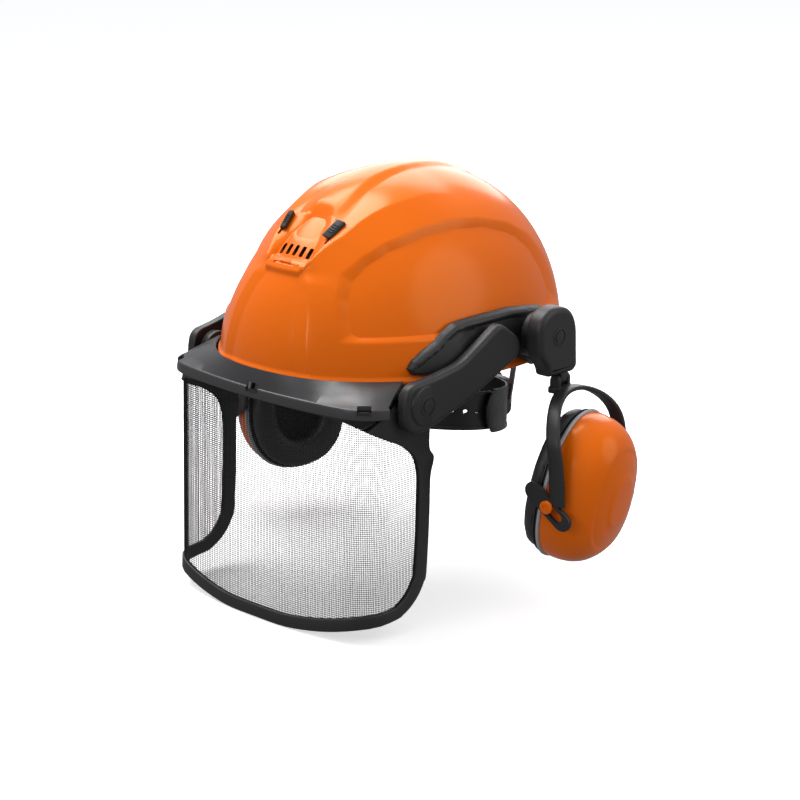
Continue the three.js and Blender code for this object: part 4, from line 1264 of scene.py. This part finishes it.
def make_ratchet():
    low, high = box_mm("ratchet_housing")
    middle, face = (low + high) / 2, high[1]
    rear = low[1]
    outline = rounded([[-30, -16, 9], [30, -16, 9], [30, 16, 9], [-30, 16, 9]], 9)

    def turned(points):
        return np.stack([points[..., 1], points[..., 0], points[..., 2] + middle[2]], -1)

    case = plate(outline, rear, face, (0.8, 3.0), place=turned)
    plinth = lathe([(face - 1, 0), (face - 1, 15), (face + 0.1, 14.6), (face + 0.1, 0)],
                   [0, 0, middle[2]], "y")  # fmt: skip
    piece("ratchet_case", joined(case, plinth), "black_plastic", "nape", ["ratchet_housing"])
    finish_cad("ratchet_pinion", "black_plastic")
    low, high = box_mm("ratchet_knob")
    turn = np.linspace(0, 2 * math.pi, 144, endpoint=False)
    rings = []
    for y, radius, grip in (
        (low[1], 0.5, 0), (low[1], 14.5, 0), (low[1] + 1.2, 16.2, 0.7), (high[1] - 2.4, 16.2, 0.9),
        (high[1] - 0.9, 15.2, 0.6), (high[1], 13.6, 0.2), (high[1] - 0.3, 11.8, 0),
        (high[1] - 1.4, 11, 0), (high[1] - 1.5, 6, 0), (high[1] - 0.9, 5, 0),
        (high[1] - 0.8, 0.5, 0),
    ):  # fmt: skip
        r = radius + grip * (np.cos(turn * 18) - 1) * 0.5
        ring = np.column_stack([r * np.cos(turn), middle[2] + r * np.sin(turn)])
        rings.append(layer(ring, y, 1))
    piece("ratchet_grip", loft(rings), "black_plastic", "ratchet_knob", ["ratchet_knob"])


STRAP_OUT = [(0.915, -4), (0.9, 22), (0.83, 48), (0.66, 76), (0.4, 95), (0, 103)]
STRAP_TOP = STRAP_OUT[-1][1]
STRAP_STACK = 3.2  # how much higher each strap crosses the crown than the one under it
STRAPS = {"side": 0, "diagonal": 50, "cross": 130}


def make_straps():
    profile = section(20, 1.3, 0.6, 3)
    half = finer(np.array(STRAP_OUT, float), 8)
    for i, (name, degrees) in enumerate(STRAPS.items()):
        angle = math.radians(degrees)
        path = []
        for turn, rows in ((0, half), (math.pi, half[:-1][::-1])):
            rim = dome(angle + turn, 0.0, -SHELL["thick"])
            for out, z in rows:
                rise = STRAP_STACK * i * max(z, 0) / STRAP_TOP
                path.append([rim[0] * out, rim[1] * out, z + rise])
        path = np.array(path)
        across = np.array([-math.sin(angle), math.cos(angle), 0])
        along = unit(np.gradient(path, axis=0))
        normal = unit(np.cross(along, across))
        shape = sweep(path, np.tile(across, (len(path), 1)), normal, profile)
        node = f"crown_strap_{name}"
        piece(f"crown_web_{name}", shape, "webbing", "helmet", [node], sharp=60)
    names = ["left", "rear_left", "rear_right", "right", "front_right", "front_left"]
    angles = [a + turn for turn in (0, 180) for a in STRAPS.values()]
    for name, degrees in zip(names, angles):
        make_clip(name, math.radians(degrees))


def make_clip(name, angle):
    node = f"harness_clip_{name}"
    low, high = box_mm(node)
    middle = (low + high) / 2
    ahead, behind = (dome(angle + step, 0.0, -SHELL["thick"]) for step in (0.02, -0.02))
    along = unit((ahead - behind) * [1, 1, 0])
    out = np.array([along[1], -along[0], 0])

    def stand(points):
        x, y, z = points[..., :1], points[..., 1:2], points[..., 2:]
        return middle + x * out + y * along + z * [0, 0, 1]

    body = plate(section(21.6, 17.6, 3.5, 6), -1.4, 1.4, (1.1, 0.4), place=stand)
    bar = plate(section(15, 2.2, 1, 4) + [0, -3.2], -2.1, -1.0, (0.5, 0.1), place=stand)
    tab = plate(section(8, 5, 1.6, 4) + [0, 3.4], -2.0, -1.0, (0.6, 0.1), place=stand)
    piece(f"clip_{name}", joined(body, bar, tab), "black_plastic", "helmet", [node])


NAPE_TOP, NAPE_FOOT = np.array([50, 84, 10]), np.array([46.4, 79.5, -52])
NAPE_STEPS = 30


def make_nape_straps():
    for name, hand in (("left", 1), ("right", -1)):
        along = unit(np.array([-hand * 0.75, 0.66, 0]))
        out = unit(np.array([hand * 0.66, 0.75, 0]))
        top, foot = NAPE_TOP * [hand, 1, 1], NAPE_FOOT * [hand, 1, 1]
        t = np.linspace(0, 1, NAPE_STEPS)[:, None]
        path = top + (foot - top) * t + out * np.sin(t * math.pi) * 0.8
        ways = (np.tile(way, (NAPE_STEPS, 1)) for way in (along, out))
        parts = [sweep(path, *ways, section(18, 1.4, 0.65, 3))]
        for z in (-49, -46.5, -38):
            place = np.array([*foot[:2], z]) + out * 0.9
            row = [place + along * u for u in np.linspace(-7, 7, 15)]
            parts.append(sweep(row, [out] * 15, [[0, 0, 1.0]] * 15, section(0.7, 0.7, 0.3, 2)))
        node = f"nape_strap_{name}"
        piece(f"nape_web_{name}", joined(*parts), "nape_webbing", "nape", [node], sharp=60)


# ---------------------------------------------------------------- stage

AZIMUTH, ELEVATION, ROLL = (math.radians(v) for v in (42.87, 14.7, 1.61))
DISTANCE, TARGET, LENS, SENSOR = 1800.0, np.array([0, 4.55, -47.27]), 106.05, 36.0
BACK = np.array(
    [
        math.sin(AZIMUTH) * math.cos(ELEVATION),
        -math.cos(AZIMUTH) * math.cos(ELEVATION),
        math.sin(ELEVATION),
    ]
)
RIGHT = np.array([math.cos(AZIMUTH), math.sin(AZIMUTH), 0])
UP = np.array(
    [
        -math.sin(AZIMUTH) * math.sin(ELEVATION),
        math.cos(AZIMUTH) * math.sin(ELEVATION),
        math.cos(ELEVATION),
    ]
)
# Each lamp's name, its way from the origin, its distance and size in metres, and its power.
LAMPS = (
    ("key", -0.4 * RIGHT + UP, 1.4, 1.1, 22),
    ("front_fill", -0.8 * RIGHT + 0.15 * UP + 0.9 * BACK, 1.9, 0.7, 5),
    ("side_fill", RIGHT + 0.45 * UP + 0.5 * BACK, 2.4, 2.0, 14),
    ("rear_rim", 0.1 * RIGHT + 0.75 * UP - 0.8 * BACK, 1.8, 1.5, 15),
)
# The floor in metres: flat, then bent up with this radius to a wall of this height.
FLOOR_SIDES, FLOOR_FLAT, FLOOR_BEND, WALL_HEIGHT = 96, 6.0, 3.0, 12.0
FLOOR_GAP = 0.0005


def linked(name, data):
    made = bpy.data.objects.new(name, data)
    bpy.context.scene.collection.objects.link(made)
    return made


def make_camera():
    c, s = math.cos(ROLL), math.sin(ROLL)
    roll = np.array([[c, 0, s], [0, 1, 0], [-s, 0, c]])
    data = bpy.data.cameras.new("camera")
    data.lens, data.sensor_width = LENS, SENSOR
    data.dof.use_dof = False
    matrix = Matrix((roll.T @ np.column_stack([RIGHT, UP, BACK])).tolist()).to_4x4()
    matrix.translation = Vector(roll.T @ (TARGET + DISTANCE * BACK) * MM)
    camera = linked("camera", data)
    camera.matrix_world = matrix
    bpy.context.scene.camera = camera


def make_floor():
    """A pale bowl just under the object, which lights and shades nothing itself."""
    turn = np.linspace(0, -2 * math.pi, FLOOR_SIDES, endpoint=False)
    rows = [(1.5, 0.0), (3.0, 0.0)]
    for bend in np.linspace(0, math.pi / 2, 16):
        rise = FLOOR_BEND - FLOOR_BEND * math.cos(bend)
        rows.append((FLOOR_FLAT + FLOOR_BEND * math.sin(bend), rise))
    rows.append((FLOOR_FLAT + FLOOR_BEND, WALL_HEIGHT))
    floor_z = cad_box[0][2] - FLOOR_GAP
    rings = [
        layer(np.column_stack([r * np.cos(turn), r * np.sin(turn)]), floor_z + z, 2)
        for r, z in rows
    ]
    points, faces = loft(rings, cap=False)
    mesh = bpy.data.meshes.new("floor")
    mesh.from_pydata(points.tolist(), [], [tuple(range(FLOOR_SIDES))[::-1], *faces])
    mesh.polygons.foreach_set("use_smooth", [True] * len(mesh.polygons))
    floor = linked("floor", mesh)
    look = Nodes("floor_pale")
    tone = look.mix(look.noise(900, 2), (0.88, 0.88, 0.89, 1), (0.92, 0.92, 0.92, 1))
    look.set(Base_Color=tone, Roughness=0.9, Specular_IOR_Level=0.1)
    look.set(Emission_Color=(1, 1, 1, 1), Emission_Strength=0.45)
    floor.data.materials.append(look.material)
    floor.visible_diffuse = floor.visible_glossy = floor.visible_shadow = False


def make_lamps():
    for name, way, far, size, power in LAMPS:
        data = bpy.data.lights.new(name, "AREA")
        data.shape, data.size, data.energy = "DISK", size, power
        lamp = linked(name, data)
        lamp.location = Vector(unit(way)) * far
        lamp.rotation_euler = lamp.location.to_track_quat("Z", "Y").to_euler()


GROUND, HORIZON, ZENITH = (0.3, 0.3, 0.31, 1), (0.5, 0.5, 0.52, 1), (0.95, 0.96, 1.0, 1)
SKY_STRENGTH = 0.72


def make_world():
    """Light that grows from the ground to the top of the sky."""
    world = bpy.data.worlds.new("studio")
    world.use_nodes = True
    nodes, link = world.node_tree.nodes, world.node_tree.links.new
    split = nodes.new("ShaderNodeSeparateXYZ")
    link(nodes.new("ShaderNodeTexCoord").outputs["Generated"], split.inputs[0])
    height = nodes.new("ShaderNodeMapRange")
    height.inputs["From Min"].default_value = -1.0
    link(split.outputs["Z"], height.inputs["Value"])
    sky = nodes.new("ShaderNodeValToRGB")
    lowest, highest = sky.color_ramp.elements
    lowest.color, highest.color = GROUND, ZENITH
    sky.color_ramp.elements.new(0.5).color = HORIZON
    link(height.outputs["Result"], sky.inputs["Fac"])
    link(sky.outputs["Color"], nodes["Background"].inputs["Color"])
    nodes["Background"].inputs["Strength"].default_value = SKY_STRENGTH
    bpy.context.scene.world = world
    bpy.context.scene.view_settings.view_transform = "Standard"


make_camera()
make_floor()
make_lamps()
make_world()
make_shell()
make_buttons()
finish_cad("vent_shutter", "black_plastic")
make_frame()
make_mesh()
make_ledge()
for side, hand_of in (("left", 1), ("right", -1)):
    make_carrier(side, hand_of)
    make_arm(side, hand_of)
    make_block(side, hand_of)
    make_yoke(side)
    make_cup(side)
make_harness()
make_ratchet()
make_straps()
make_nape_straps()
